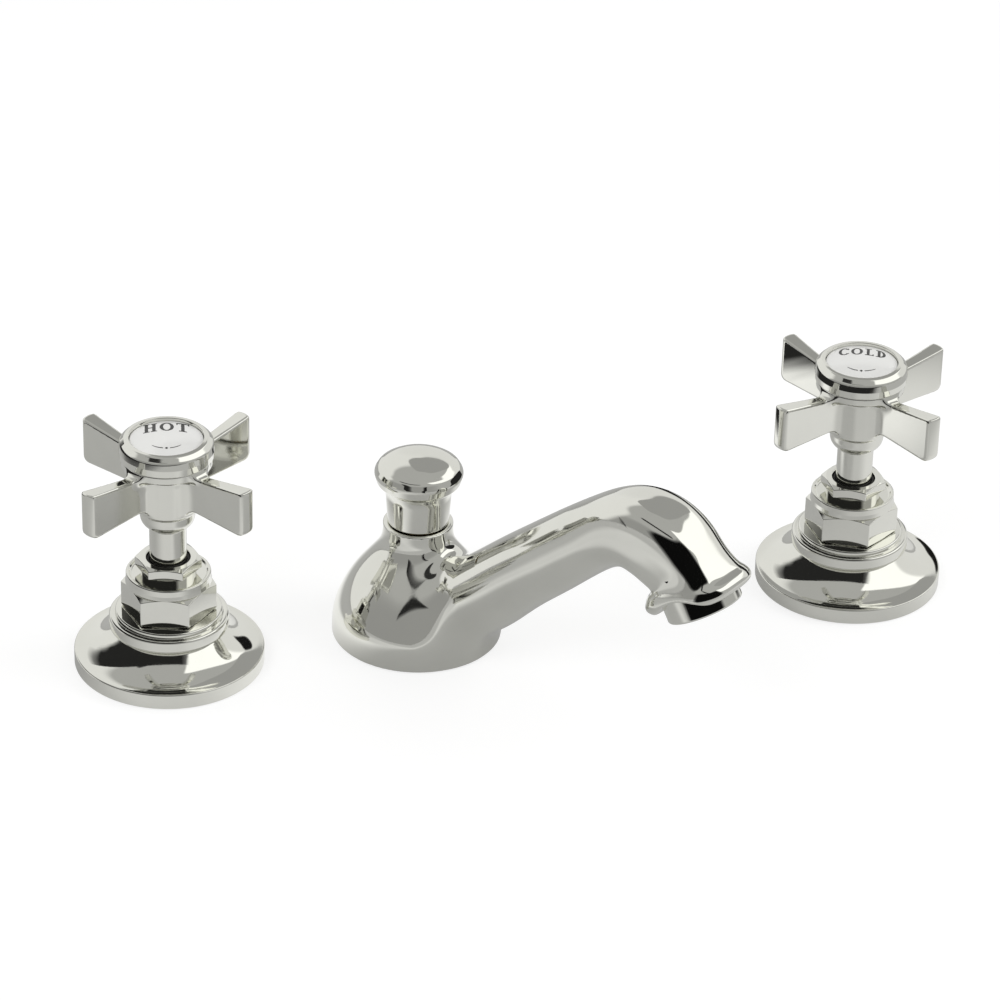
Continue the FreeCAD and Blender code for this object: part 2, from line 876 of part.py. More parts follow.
def aerator_insert():
    low = -aerator_showing + aerator_lip
    body = ring(0, aerator_bore - run_gap, low, nozzle_socket_depth)
    holes = [centre]
    for k in range(1, aerator_rings + 1):
        for i in range(6 * k):
            turn = math.radians(360 * i / (6 * k))
            away = k * aerator_ring_radius
            holes.append(V(away * math.cos(turn), away * math.sin(turn), 0))
    length = nozzle_socket_depth - low + 2 * overrun
    tubes = [Part.makeCylinder(aerator_hole_radius, length, h + V(0, 0, low - overrun)) for h in holes]
    return along_nozzle(body.cut(Part.makeCompound(tubes)))


def aerator_seal():
    low = nozzle_socket_depth
    outer = aerator_thread_radius
    return along_nozzle(ring(outer - aerator_seal_width, outer, low, low + aerator_seal_height))


def unit_seals(prefix, outer):
    """Rubber under the casting and the clamp under the deck, alike on all three units."""
    return {
        prefix + "_base_seal": base_seal(outer),
        prefix + "_deck_gasket": deck_gasket(),
        prefix + "_thrust_washer": thrust_washer(),
        prefix + "_backnut": backnut(),
    }


def valve(prefix, place, side, arm_turn, hex_turn):
    """All pieces of one valve, moved to its hole."""
    parts = unit_seals(prefix, flange_radius - seal_inset)
    parts[prefix + "_escutcheon"] = escutcheon()
    parts[prefix + "_valve_body"] = valve_body(side)
    parts[prefix + "_seat_seal"] = seat_seal()
    parts[prefix + "_fixed_disc"] = fixed_disc()
    parts[prefix + "_moving_disc"] = moving_disc()
    parts[prefix + "_cartridge_body"] = cartridge_body()
    parts[prefix + "_spindle"] = spindle()
    parts[prefix + "_spindle_orings"] = spindle_orings()
    parts[prefix + "_spindle_clip"] = spindle_clip()
    parts[prefix + "_bonnet"] = bonnet(hex_turn)
    parts[prefix + "_gland_nut"] = gland_nut(hex_turn)
    parts[prefix + "_handle"] = handle(arm_turn)
    parts[prefix + "_handle_screw"] = handle_screw()
    parts[prefix + "_index_bezel"] = index_bezel()
    parts[prefix + "_index_disc"] = index_disc()
    # The square hole of the handle is broached in line with the arms
    parts[prefix + "_spindle"] = turned_square(parts[prefix + "_spindle"], arm_turn)
    parts[prefix + "_moving_disc"] = turned_square(parts[prefix + "_moving_disc"], arm_turn)
    parts[prefix + "_fixed_disc"] = turned_square(parts[prefix + "_fixed_disc"], arm_turn)
    for shape in parts.values():
        shape.translate(V(place, 0, 0))
    return parts


def turned_square(shape, angle):
    shape.rotate(centre, up, angle)
    return shape


def spout():
    """All pieces of the spout. The arm is drawn along +X and then turned to its yaw."""
    parts = unit_seals("spout", spout_base_radius - spout_seal_inset)
    parts["spout_shank"] = spout_shank()
    parts["inlet_tee"] = inlet_tee()
    parts["rod_guide_tube"] = rod_guide_tube()
    parts["guide_nut"] = guide_nut()
    parts["lift_rod"] = lift_rod()
    parts["lift_knob"] = lift_knob()
    yawed = {
        "spout_body": spout_body(),
        "aerator_housing": aerator_housing(),
        "aerator_insert": aerator_insert(),
        "aerator_seal": aerator_seal(),
    }
    for name, shape in yawed.items():
        shape.rotate(centre, up, spout_yaw_angle - 90)
        parts[name] = shape
    return parts


def main():
    os.makedirs("parts", exist_ok=True)
    nodes = {}
    nodes.update(valve("hot", -hot_spacing, 1, hot_arm_angle, hot_hex_angle))
    nodes.update(valve("cold", cold_spacing, -1, cold_arm_angle, cold_hex_angle))
    nodes.update(spout())
    for name, shape in sorted(nodes.items()):
        solids = shape.Solids
        valid = all(s.isValid() and s.Volume > 0 for s in solids)
        print(name, len(solids), "solid", round(shape.Volume), "mm3", "ok" if valid else "BAD")
        shape.exportStep("parts/" + name + ".step")
    print(len(nodes), "nodes")


main()
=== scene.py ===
import bmesh
import bpy
import json
import math
import numpy as np
from mathutils import Matrix, Vector


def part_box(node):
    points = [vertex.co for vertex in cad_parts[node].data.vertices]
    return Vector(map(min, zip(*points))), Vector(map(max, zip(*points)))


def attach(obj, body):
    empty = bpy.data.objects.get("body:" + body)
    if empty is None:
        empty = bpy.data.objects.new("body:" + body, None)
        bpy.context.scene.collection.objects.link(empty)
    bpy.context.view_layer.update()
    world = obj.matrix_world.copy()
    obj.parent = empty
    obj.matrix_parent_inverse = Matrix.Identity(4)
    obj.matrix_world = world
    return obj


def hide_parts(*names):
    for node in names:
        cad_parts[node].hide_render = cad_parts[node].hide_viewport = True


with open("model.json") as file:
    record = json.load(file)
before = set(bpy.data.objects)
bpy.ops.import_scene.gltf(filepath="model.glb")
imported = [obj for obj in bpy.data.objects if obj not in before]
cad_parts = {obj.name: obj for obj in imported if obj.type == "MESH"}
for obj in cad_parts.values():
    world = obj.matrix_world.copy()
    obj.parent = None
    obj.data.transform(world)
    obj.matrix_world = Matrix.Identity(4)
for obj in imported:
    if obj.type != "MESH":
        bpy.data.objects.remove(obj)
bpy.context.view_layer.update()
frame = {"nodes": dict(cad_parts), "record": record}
mm = 0.001


# Places of the valves, in millimetres, read from the frame

def middleOf(node):
    low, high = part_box(node)
    return (low.x + high.x) / 2 / mm, (low.y + high.y) / 2 / mm


hotX = middleOf("hot_escutcheon")[0]
coldX = middleOf("cold_escutcheon")[0]
layout = {
    "spoutYaw": -52.0,
    "hotArm": 34.1,
    "coldArm": 24.2,
    "hotHex": -17.0,
    "coldHex": -26.5,
    "hotWord": -10.9,
    "coldWord": -20.8,
}
print("frame loaded, hot valve at", round(hotX, 2), "and cold valve at", round(coldX, 2))


# Meshes

def makeMesh(name, points, faces, normals=None):
    mesh = bpy.data.meshes.new(name)
    mesh.from_pydata((np.asarray(points) * mm).tolist(), [], faces)
    mesh.polygons.foreach_set("use_smooth", np.ones(len(mesh.polygons), bool))
    if normals is not None:
        mesh.normals_split_custom_set_from_vertices(np.asarray(normals).tolist())
    mesh.update()
    return mesh


def newObject(name, data):
    obj = bpy.data.objects.new(name, data)
    bpy.context.scene.collection.objects.link(obj)
    return obj


def addPiece(name, mesh, body, slot="polished_nickel", nodes=(), material=None):
    obj = newObject(name, mesh)
    mesh.materials.append(material or materials[slot])
    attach(obj, body)
    if nodes:
        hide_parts(*nodes)


def turnAndPlace(points, normals, angle, place):
    # Turns points and normals about Z by an angle in degrees, and moves the points along X and Y.
    a = math.radians(angle)
    m = np.array([[math.cos(a), math.sin(a), 0], [-math.sin(a), math.cos(a), 0], [0, 0, 1]])
    return points @ m + np.array([place[0], place[1], 0.0]), normals @ m


def slerp(a, b, t):
    # Directions between two unit directions: (sin((1-t)w) a + sin(tw) b) / sin w, with w the angle
    # between them.
    dot = np.clip((a * b).sum(-1, keepdims=True), -1, 1)
    w = np.maximum(np.arccos(dot), 1e-6)
    out = (np.sin((1 - t) * w) * a + np.sin(t * w) * b) / np.sin(w)
    return out / np.linalg.norm(out, axis=-1, keepdims=True)


def roundedProfile(corners, closed):
    # Points and tangents along a polygon in the radius-height plane, with an arc at each corner. A corner
    # is (radius, height, arc radius, arc steps), and radius and height may be arrays over the angle. The
    # arc's centre is the corner + (u + v) / |u + v| * arc / sin(half the corner's angle), with u and v
    # pointing to the corner's neighbours.
    count = len(corners)
    wide = max(np.size(c[k]) for c in corners for k in (0, 1))
    place = np.stack([np.stack([np.broadcast_to(np.asarray(v, float), wide) for v in c[:2]], -1)
                      for c in corners])
    points, tangents = [], []
    for i, corner in enumerate(corners):
        here = place[i]
        if not closed and i in (0, count - 1):
            other = place[1] if i == 0 else place[count - 2]
            along = other - here if i == 0 else here - other
            along = along / np.linalg.norm(along, axis=-1, keepdims=True)
            points.append(here)
            tangents.append(along)
            continue
        before = place[i - 1] - here
        after = place[(i + 1) % count] - here
        la = np.linalg.norm(before, axis=-1, keepdims=True)
        lb = np.linalg.norm(after, axis=-1, keepdims=True)
        u, v = before / la, after / lb
        half = np.arccos(np.clip((u * v).sum(-1, keepdims=True), -1, 1)) / 2
        reach = np.minimum(corner[2] / np.tan(half), 0.49 * np.minimum(la, lb))
        arc = reach * np.tan(half)
        bisector = u + v
        bisector = bisector / np.maximum(np.linalg.norm(bisector, axis=-1, keepdims=True), 1e-9)
        middle = here + bisector * arc / np.sin(half)
        steps = corner[3]
        first = (here + u * reach - middle) / np.maximum(arc, 1e-9)
        last = (here + v * reach - middle) / np.maximum(arc, 1e-9)
        for k in range(steps + 1):
            t = k / steps
            spoke = slerp(first, last, t)
            points.append(middle + spoke * arc)
            tangents.append(slerp(-u, v, t))
    return np.stack(points), np.stack(tangents)


def spin(shape, angles, closed=True):
    # Surface of a profile carried round Z: (r cos a, r sin a, z). shape(angles) gives its corners, which
    # may change with the angle. Normals are the cross product of the two directions along the surface.
    eps = 1e-4
    p, t = roundedProfile(shape(angles), closed)
    ahead, behind = (roundedProfile(shape(angles + d), closed)[0] for d in (eps, -eps))
    change = (ahead - behind) / (2 * eps)
    p, t, change = (np.broadcast_to(a, (len(a), len(angles), 2)) for a in (p, t, change))
    c, s = np.cos(angles), np.sin(angles)
    points = np.stack([p[..., 0] * c, p[..., 0] * s, p[..., 1]], -1)
    radius = np.maximum(p[..., 0], 1e-3)
    around = np.stack([change[..., 0] * c - radius * s, change[..., 0] * s + radius * c,
                       change[..., 1]], -1)
    along = np.stack([t[..., 0] * c, t[..., 0] * s, t[..., 1]], -1)
    normals = np.cross(around, along)
    area = 0.5 * np.sum(p[:, 0, 0] * np.roll(p[:, 0, 1], -1) - np.roll(p[:, 0, 0], -1) * p[:, 0, 1])
    normals /= np.maximum(np.linalg.norm(normals, axis=-1, keepdims=True), 1e-12)
    rows = len(p)
    index = np.arange(rows * len(angles)).reshape(rows, -1)
    above = np.roll(index, -1, 0)
    faces = np.stack([index, np.roll(index, -1, 1), np.roll(above, -1, 1), above], -1)
    faces = faces[:rows if closed else rows - 1].reshape(-1, 4)
    if area < 0:
        normals, faces = -normals, faces[:, [0, 3, 2, 1]]
    points, normals = points.reshape(-1, 3), normals.reshape(-1, 3)
    # Rings on the axis become one point each
    keep = np.arange(len(points))
    if not closed:
        for i in (0, rows - 1):
            if p[i, 0, 0] < 1e-6:
                keep[index[i]] = index[i][0]
                normals[index[i][0]] = (0, 0, np.sign(normals[index[i], 2].sum()) or 1)
    used, number = np.unique(keep, return_inverse=True)
    faces = [[f[k] for k in range(4) if f[k] != f[k - 1]] for f in number[faces].tolist()]
    return points[used], [f for f in faces if len(f) > 2], normals[used]


def hexAngles(turn, flat=14, corner=8, width=4.0):
    # Angles round a hexagon, closer together within some degrees of its corners.
    out = []
    for i in range(6):
        middle = 60 * i + turn
        out += list(middle + np.linspace(-width, width, corner, endpoint=False))
        out += list(middle + np.linspace(width, 60 - width, flat, endpoint=False))
    return np.radians(np.array(out))


def hexRadius(angles, flats, turn, corner):
    # Radius of a hexagon with rounded upright corners: flats / 2 / cos(30 - a) on a flat, and on a
    # corner's arc d cos a + sqrt(c c - (d sin a)^2), with a the angle from the nearest corner and d the
    # distance of the arc's centre.
    a = (np.degrees(angles) - turn + 30) % 60 - 30
    a = np.radians(np.abs(a))
    half = flats / 2
    d = (half - corner) / math.cos(math.radians(30))
    limit = math.atan2(corner * 0.5, d + corner * math.cos(math.radians(30)))
    arc = d * np.cos(a) + np.sqrt(np.maximum(corner ** 2 - (d * np.sin(a)) ** 2, 0))
    return np.where(a < limit, arc, half / np.cos(math.radians(30) - a))


# Implicit surfaces

def smoothMin(a, b, k):
    # Polynomial blend of two distances: min(a, b) - h h k / 4 with h = max(k - |a - b|, 0) / k.
    h = np.maximum(k - np.abs(a - b), 0) / k
    return np.minimum(a, b) - h * h * k / 4


def smoothMax(a, b, k):
    return -smoothMin(-a, -b, k)


def roundedBox(q, ball):
    # Distance to a rounded box or cylinder: |max(q, 0)| + min(max(q), 0) - ball, with q the distances to
    # its sides.
    outside = np.sqrt(sum(np.maximum(c, 0) ** 2 for c in q))
    inside = np.minimum(np.maximum.reduce(q), 0)
    return outside + inside - ball


def disc(r, z, radius, low, high, ball):
    # Upright cylinder with rounded edges, between two heights.
    return roundedBox([r - (radius - ball), np.abs(z - (low + high) / 2) - ((high - low) / 2 - ball)], ball)


def gradient(field, p, step=0.02):
    # Slope of a field along each axis: (f(p + step) - f(p - step)) / (2 step).
    out = np.empty_like(p)
    for k in range(3):
        d = np.zeros(3)
        d[k] = step
        out[:, k] = (field(p + d) - field(p - d)) / (2 * step)
    return out


def surfaceNet(field, low, high, cell, relax=4):
    # Closed quad mesh of the zero level: one point in each grid cell that the surface crosses, at the
    # mean of its edge crossings. The points are then evened out between their neighbours and put back by
    # p - f g / (g g). Fine cells are worked out only near the surface.
    low, high = np.array(low, float), np.array(high, float)
    coarse = 4
    n = (np.ceil((high - low) / (cell * coarse)).astype(int) + 1)
    axes = [low[k] + (np.arange(n[k]) + 0.5) * cell * coarse for k in range(3)]
    grid = np.stack(np.meshgrid(*axes, indexing="ij"), -1).reshape(-1, 3)
    rough = field(grid).reshape(n)
    near = np.abs(rough) < cell * coarse * 1.9
    for k in range(3):
        near = near | np.roll(near, 1, k) | np.roll(near, -1, k)
    size = n * coarse
    value, fine = rough, near
    for k in range(3):
        value, fine = np.repeat(value, coarse, k), np.repeat(fine, coarse, k)
    value[fine] = field(low + np.argwhere(fine) * cell)
    inside = value < 0
    # Crossings of the twelve edges of each cell
    total = np.zeros(tuple(size - 1) + (3,), np.float32)
    hits = np.zeros(tuple(size - 1), np.float32)

    def part(array, shift):
        return array[tuple(slice(s, size[k] - 1 + s) for k, s in enumerate(shift))]

    for axis in range(3):
        for corner in ((0, 0), (0, 1), (1, 0), (1, 1)):
            start, end = np.insert(corner, axis, 0), np.insert(corner, axis, 1)
            a, b = part(value, start), part(value, end)
            cross = (a < 0) != (b < 0)
            t = a[cross] / (a[cross] - b[cross])
            spot = np.zeros((len(t), 3), np.float32)
            spot[:] = start
            spot[:, axis] = t
            total[cross] += spot
            hits[cross] += 1
    active = hits > 0
    number = np.full(active.shape, -1)
    number[active] = np.arange(active.sum())
    where = np.argwhere(active)
    p = low + (where + total[active] / hits[active][:, None]) * cell
    faces = []
    for axis in range(3):
        u, v = (axis + 1) % 3, (axis + 2) % 3
        a = inside[tuple(slice(0, size[k] - 1) if k == axis else slice(1, size[k] - 1) for k in range(3))]
        b = inside[tuple(slice(1, size[k]) if k == axis else slice(1, size[k] - 1) for k in range(3))]
        cross = np.argwhere(a != b)
        sign = a[tuple(cross.T)]
        quad = []
        for i, j in ((0, 0), (1, 0), (1, 1), (0, 1)):
            c = cross.copy()
            c[:, u] += i
            c[:, v] += j
            quad.append(number[tuple(c.T)])
        quad = np.stack(quad, 1)
        quad[~sign] = quad[~sign][:, ::-1]
        faces.append(quad)
    faces = np.concatenate(faces)
    first, second = faces.T.ravel(), np.roll(faces, -1, 1).T.ravel()

    def outward(p):
        g = gradient(field, p)
        return g / np.linalg.norm(g, axis=1, keepdims=True)

    def settle(p, times):
        for _ in range(times):
            f = field(p)
            g = gradient(field, p)
            p = p - np.clip(f / np.maximum((g * g).sum(1), 0.05), -cell, cell)[:, None] * g
        return p

    p = settle(p, 2)
    links = np.bincount(first, minlength=len(p))[:, None]
    for _ in range(relax):
        sums = np.stack([np.bincount(first, p[second, k], len(p)) for k in range(3)], 1)
        g = outward(p)
        step = sums / links - p
        step -= (step * g).sum(1, keepdims=True) * g
        p = settle(p + 0.6 * step, 1)
    return p, faces, outward(p)


def naturalSpline(x, y):
    # Cubic spline through points with no bend at its ends. It gives its value, slope and bend.
    x, y = np.asarray(x, float), np.asarray(y, float)
    n = len(x)
    h = np.diff(x)
    m = np.zeros((n, n))
    r = np.zeros(n)
    m[0, 0] = m[-1, -1] = 1
    for i in range(1, n - 1):
        m[i, i - 1: i + 2] = h[i - 1], 2 * (h[i - 1] + h[i]), h[i]
        r[i] = 6 * ((y[i + 1] - y[i]) / h[i] - (y[i] - y[i - 1]) / h[i - 1])
    s = np.linalg.solve(m, r)

    def at(t):
        i = np.clip(np.searchsorted(x, t, side="right") - 1, 0, n - 2)
        a, b = x[i + 1] - t, t - x[i]
        w = h[i]
        value = (s[i] * a ** 3 + s[i + 1] * b ** 3) / (6 * w) \
            + (y[i] / w - s[i] * w / 6) * a + (y[i + 1] / w - s[i + 1] * w / 6) * b
        slope = (s[i + 1] * b ** 2 - s[i] * a ** 2) / (2 * w) \
            + (y[i + 1] - y[i]) / w - (s[i + 1] - s[i]) * w / 6
        return value, slope, (s[i] * a + s[i + 1] * b) / w

    return at


# Node helpers

def newGroup(name, inputs, outputs):
    tree = bpy.data.node_groups.new(name, "ShaderNodeTree")
    for title, kind, value in inputs:
        socket = tree.interface.new_socket(name=title, in_out="INPUT", socket_type=kind)
        socket.default_value = value
    for title, kind in outputs:
        tree.interface.new_socket(name=title, in_out="OUTPUT", socket_type=kind)
    return tree, tree.nodes.new("NodeGroupInput"), tree.nodes.new("NodeGroupOutput")


def node(tree, kind, links=None, **values):
    made = tree.nodes.new("ShaderNode" + kind)
    for key, value in values.items():
        setattr(made, key, value)
    for key, value in (links or {}).items():
        socket = made.inputs[key]
        if isinstance(value, bpy.types.NodeSocket):
            tree.links.new(value, socket)
        else:
            socket.default_value = value
    return made


def math2(tree, operation, a, b=0.0):
    return node(tree, "Math", {0: a, 1: b}, operation=operation).outputs[0]


def newMaterial(name, colour, rough, metal, more):
    mat = bpy.data.materials.new(name)
    mat.use_nodes = True
    shader = mat.node_tree.nodes["Principled BSDF"]
    values = {"Base Color": (*colour, 1), "Roughness": rough, "Metallic": metal, **more}
    for key, value in values.items():
        shader.inputs[key].default_value = value
    mat.diffuse_color = (*colour, 1)
    return mat, mat.node_tree, shader


# Shared effect: colour and roughness that wander a little, and fine wiping marks
tree, gin, gout = newGroup(
    "surfaceWear",
    [("Vector", "NodeSocketVector", (0, 0, 0)), ("Base", "NodeSocketColor", (1, 1, 1, 1)),
     ("Shade", "NodeSocketFloat", 0.05), ("Rough", "NodeSocketFloat", 0.06),
     ("Rough Range", "NodeSocketFloat", 0.03), ("Scale", "NodeSocketFloat", 60.0),
     ("Height", "NodeSocketFloat", 0.02)],
    [("Color", "NodeSocketColor"), ("Roughness", "NodeSocketFloat"), ("Normal", "NodeSocketVector")])
cloud = node(tree, "TexNoise", {"Vector": gin.outputs["Vector"], "Scale": gin.outputs["Scale"],
                                "Detail": 3.0, "Roughness": 0.55})
stretched = node(tree, "Mapping", {"Vector": gin.outputs["Vector"], "Rotation": (0.3, 0.5, 0.7),
                                   "Scale": (1.0, 9.0, 3.0)})
marks = node(tree, "TexNoise", {"Vector": stretched.outputs[0], "Scale": 900.0, "Detail": 2.0})
darkest = math2(tree, "SUBTRACT", 1.0, gin.outputs["Shade"])
dark = node(tree, "MapRange", {"Value": cloud.outputs["Fac"], "From Min": 0.3, "From Max": 0.7,
                               "To Min": 1.0, "To Max": darkest})
shade = node(tree, "VectorMath", {0: gin.outputs["Base"], "Scale": dark.outputs[0]}, operation="SCALE")
rough = gin.outputs["Rough"]
for noise in (cloud, marks):
    offset = math2(tree, "SUBTRACT", noise.outputs["Fac"], 0.45)
    rough = math2(tree, "ADD", rough, math2(tree, "MULTIPLY", offset, gin.outputs["Rough Range"]))
bump = node(tree, "Bump", {"Strength": gin.outputs["Height"], "Distance": 0.0002,
                           "Height": marks.outputs["Fac"]})
tree.links.new(shade.outputs[0], gout.inputs["Color"])
tree.links.new(math2(tree, "MAXIMUM", rough, 0.02), gout.inputs["Roughness"])
tree.links.new(bump.outputs[0], gout.inputs["Normal"])
surfaceWear = tree


def worn(mat, tree, shader, shade, rough, roughRange, scale, height):
    # A material whose colour, roughness and normal pass through the shared effect
    group = node(tree, "Group", {
        "Vector": node(tree, "TexCoord").outputs["Object"],
        "Base": tuple(shader.inputs["Base Color"].default_value),
        "Shade": shade, "Rough": rough, "Rough Range": roughRange, "Scale": scale, "Height": height,
    }, node_tree=surfaceWear)
    for socket, key in (("Base Color", "Color"), ("Roughness", "Roughness"), ("Normal", "Normal")):
        tree.links.new(group.outputs[key], shader.inputs[socket])
    return mat


# Finishes by slot: name, colour, roughness, metal, and wear as shade, roughness, its range, scale and
# height of the marks
finishes = {
    "polished_nickel": ("polishedNickel", (0.83, 0.83, 0.775), 0.05, 1.0, (0.04, 0.045, 0.03, 55.0, 0.01)),
    "white_porcelain": ("whitePorcelain", (0.83, 0.83, 0.815), 0.08, 0.0, (0.03, 0.10, 0.04, 90.0, 0.015)),
    "black_enamel": ("blackEnamel", (0.018, 0.018, 0.017), 0.22, 0.0, (0.25, 0.22, 0.08, 300.0, 0.05)),
    "machined_brass": ("machinedBrass", (0.66, 0.47, 0.21), 0.28, 1.0, (0.14, 0.27, 0.14, 120.0, 0.18)),
    "black_rubber": ("blackRubber", (0.018, 0.018, 0.018), 0.62, 0.0, (0.3, 0.6, 0.16, 240.0, 0.25)),
    "stainless_steel": ("stainlessSteel", (0.58, 0.57, 0.55), 0.24, 1.0, (0.10, 0.22, 0.12, 150.0, 0.12)),
    "white_ceramic": ("whiteCeramic", (0.86, 0.85, 0.82), 0.3, 0.0, (0.04, 0.28, 0.08, 160.0, 0.05)),
    "grey_plastic": ("greyPlastic", (0.30, 0.31, 0.32), 0.38, 0.0, (0.12, 0.36, 0.12, 220.0, 0.15)),
}
glaze = {"white_porcelain": {"IOR": 1.52, "Coat Weight": 0.6, "Coat Roughness": 0.03}}
materials = {slot: worn(*newMaterial(name, colour, rough, metal, glaze.get(slot, {})), *wear)
             for slot, (name, colour, rough, metal, wear) in finishes.items()}
for entry in frame["record"]["subparts"]:
    target = frame["nodes"].get(entry["node"])
    if target is not None:
        target.data.materials.clear()
        target.data.materials.append(materials[entry["material_slot"]])
print("materials done")

# Escutcheon: saucer with an upright rim
plate = {
    "radius": 31.0, "rim": 5.2, "rimRound": 0.7, "top": 13.2, "topRadius": 17.0, "sag": 1.96, "inner": 14.1,
    "foot": 29.8, "hollow": 27.0, "hollowHigh": 2.0, "steps": 14,
}


def escutcheonCorners(angles):
    p = plate
    rows = [(p["inner"], p["hollowHigh"], 0.1, 1), (p["inner"], p["top"], 0.1, 1),
            (p["topRadius"], p["top"], 0.3, 3)]
    # The saucer dips: height = rim + (top - rim) (1 - s)^sag, with s the share of the way out
    for i in range(1, p["steps"]):
        s = i / p["steps"]
        r = p["topRadius"] + (p["radius"] - p["topRadius"]) * s
        z = p["rim"] + (p["top"] - p["rim"]) * (1 - s) ** p["sag"]
        rows.append((r, z, 30.0, 2))
    return rows + [(p["radius"], p["rim"], p["rimRound"], 5), (p["radius"], 0.0, 0.35, 3),
                   (p["foot"], 0.0, 0.1, 1), (p["hollow"], p["hollowHigh"], 0.1, 1)]


# Bonnet: bead, lip, hexagon and dished collar as one casting
cap = {
    "bead": 19.5, "beadLow": 13.2, "beadHigh": 18.0, "lip": 17.4, "lipHigh": 19.6, "flats": 27.0,
    "hexLow": 19.9, "hexHigh": 29.9, "hexRound": 0.35, "chamfer": 13.3, "drop": 1.35, "foot": 13.95,
    "collar": 13.8, "collarTop": 33.6, "dish": 12.2, "dishFloor": 32.8, "stub": 7.0, "under": 12.8,
    "neck": 13.0, "undercut": 0.5,
}


def coneShare(radius, p):
    # Share of a hexagon's chamfer cone: 0 at its inner radius and 1 at the hexagon's corners.
    return (radius - p["chamfer"]) / (p["flats"] / math.sqrt(3) - p["chamfer"])


def bonnetCorners(turn):
    def corners(angles):
        p = cap
        hexR = hexRadius(angles, p["flats"], turn, p["hexRound"])
        cut = p["hexHigh"] - p["drop"] * coneShare(hexR, p)
        lift = p["hexLow"] + p["undercut"] * coneShare(hexR, p)
        return [
            (p["stub"], p["under"], 0.1, 1), (p["bead"] - 2.4, p["beadLow"], 0.2, 2),
            (p["bead"], p["beadLow"], 2.4, 8), (p["bead"], p["beadHigh"], 2.4, 8),
            (p["lip"] + 0.1, p["beadHigh"] - 0.05, 0.25, 3), (p["lip"], p["lipHigh"], 0.7, 5),
            (p["neck"] + 0.1, p["lipHigh"] + 0.05, 0.2, 2), (p["neck"], p["hexLow"], 0.1, 1),
            (hexR - 0.25, p["hexLow"], 0.2, 3), (hexR, lift, 0.2, 3), (hexR, cut, 0.28, 4),
            (p["chamfer"], p["hexHigh"], 0.35, 4), (p["foot"] + 0.15, p["hexHigh"], 0.35, 3),
            (p["collar"], p["hexHigh"] + 1.6, 1.2, 4), (p["collar"], p["collarTop"], 0.55, 5),
            (p["collar"] - 0.9, p["collarTop"], 0.4, 4), (p["dish"], p["dishFloor"], 0.8, 4),
            (p["stub"], p["dishFloor"], 0.1, 1),
        ]
    return corners


# Gland nut: hexagon with a softened top edge and a bored top
gland = {"flats": 19.0, "low": 35.2, "high": 38.8, "round": 0.45, "bore": 7.15, "chamfer": 9.2,
         "drop": 0.75, "stub": 9.0, "stubLow": 31.5}


def glandCorners(turn):
    def corners(angles):
        p = gland
        hexR = hexRadius(angles, p["flats"], turn, p["round"])
        cut = p["high"] - p["drop"] * coneShare(hexR, p)
        return [
            (p["bore"], p["stubLow"], 0.1, 1), (p["stub"], p["stubLow"], 0.1, 1),
            (p["stub"], p["low"], 0.1, 1), (hexR, p["low"], 0.25, 3), (hexR, cut, 0.4, 5),
            (p["chamfer"], p["high"], 0.3, 4), (p["bore"], p["high"], 0.35, 4),
        ]
    return corners


# Bezel: rounded ring that holds the porcelain disc
ringSizes = {
    "low": 76.55, "foot": 15.2, "wide": 15.35, "wideAt": 79.0, "shoulderAt": 81.5, "top": 83.2,
    "topRadius": 12.9, "lip": 11.9, "ledge": 82.0, "bore": 12.6,
}


def bezelCorners(angles):
    p = ringSizes
    return [
        (p["bore"], p["low"], 0.1, 1), (p["foot"], p["low"], 0.3, 4), (p["wide"], p["wideAt"], 1.0, 4),
        (p["wide"] - 0.25, p["shoulderAt"], 1.6, 6), (p["topRadius"] + 0.55, p["top"] - 0.12, 1.3, 6),
        (p["lip"] + 0.1, p["top"], 0.25, 4), (p["lip"], p["ledge"], 0.1, 1), (p["bore"], p["ledge"], 0.1, 1),
    ]


# Porcelain disc with a domed face: z = crown - ball + sqrt(ball^2 - r^2)
face = {"radius": 11.85, "edge": 82.2, "crown": 0.8, "floor": 80.6}


def faceHeight(r):
    p = face
    ball = (p["radius"] ** 2 + p["crown"] ** 2) / (2 * p["crown"])
    return p["edge"] + p["crown"] - ball + np.sqrt(ball ** 2 - r ** 2)


def faceCorners(angles):
    p = face
    rows = [(0.0, p["floor"], 0.0, 1), (p["radius"], p["floor"], 0.1, 1),
            (p["radius"], p["edge"], 0.25, 3)]
    for r in (11.2, 9.6, 7.6, 5.4, 3.2, 1.4):
        rows.append((r, float(faceHeight(r)), 60.0, 2))
    return rows + [(0.0, p["edge"] + p["crown"], 0.0, 1)]


# Wiper ring round the handle's neck, in the gland nut's bore
wiper = {"inner": 6.08, "outer": 7.1, "low": 36.4, "high": 38.1}


def wiperCorners(angles):
    p = wiper
    return [(p["inner"], p["low"], 0.2, 2), (p["outer"], p["low"], 0.2, 2), (p["outer"], p["high"], 0.35, 4),
            (p["inner"], p["high"], 0.35, 4)]


# Lettering: serif capitals along an arc of the disc, each stroke a thin raised strip that follows the
# dome, over a plain rule of two strips and a lozenge
letters = {"height": 5.3, "thick": 0.98, "thin": 0.44, "serif": 0.38, "reach": 0.64, "gap": 0.75,
           "size": 1.1, "widest": 15.6, "base": 4.2, "arch": 22.0, "rise": 0.05, "sink": 0.05,
           "ruleDrop": 2.4, "ruleFrom": 0.17, "ruleTo": 0.78, "ruleHalf": 0.17, "taper": 0.62,
           "lozenge": 0.55}
capTop, thick, thin, serif, serifReach = (letters[k] for k in ("height", "thick", "thin", "serif", "reach"))


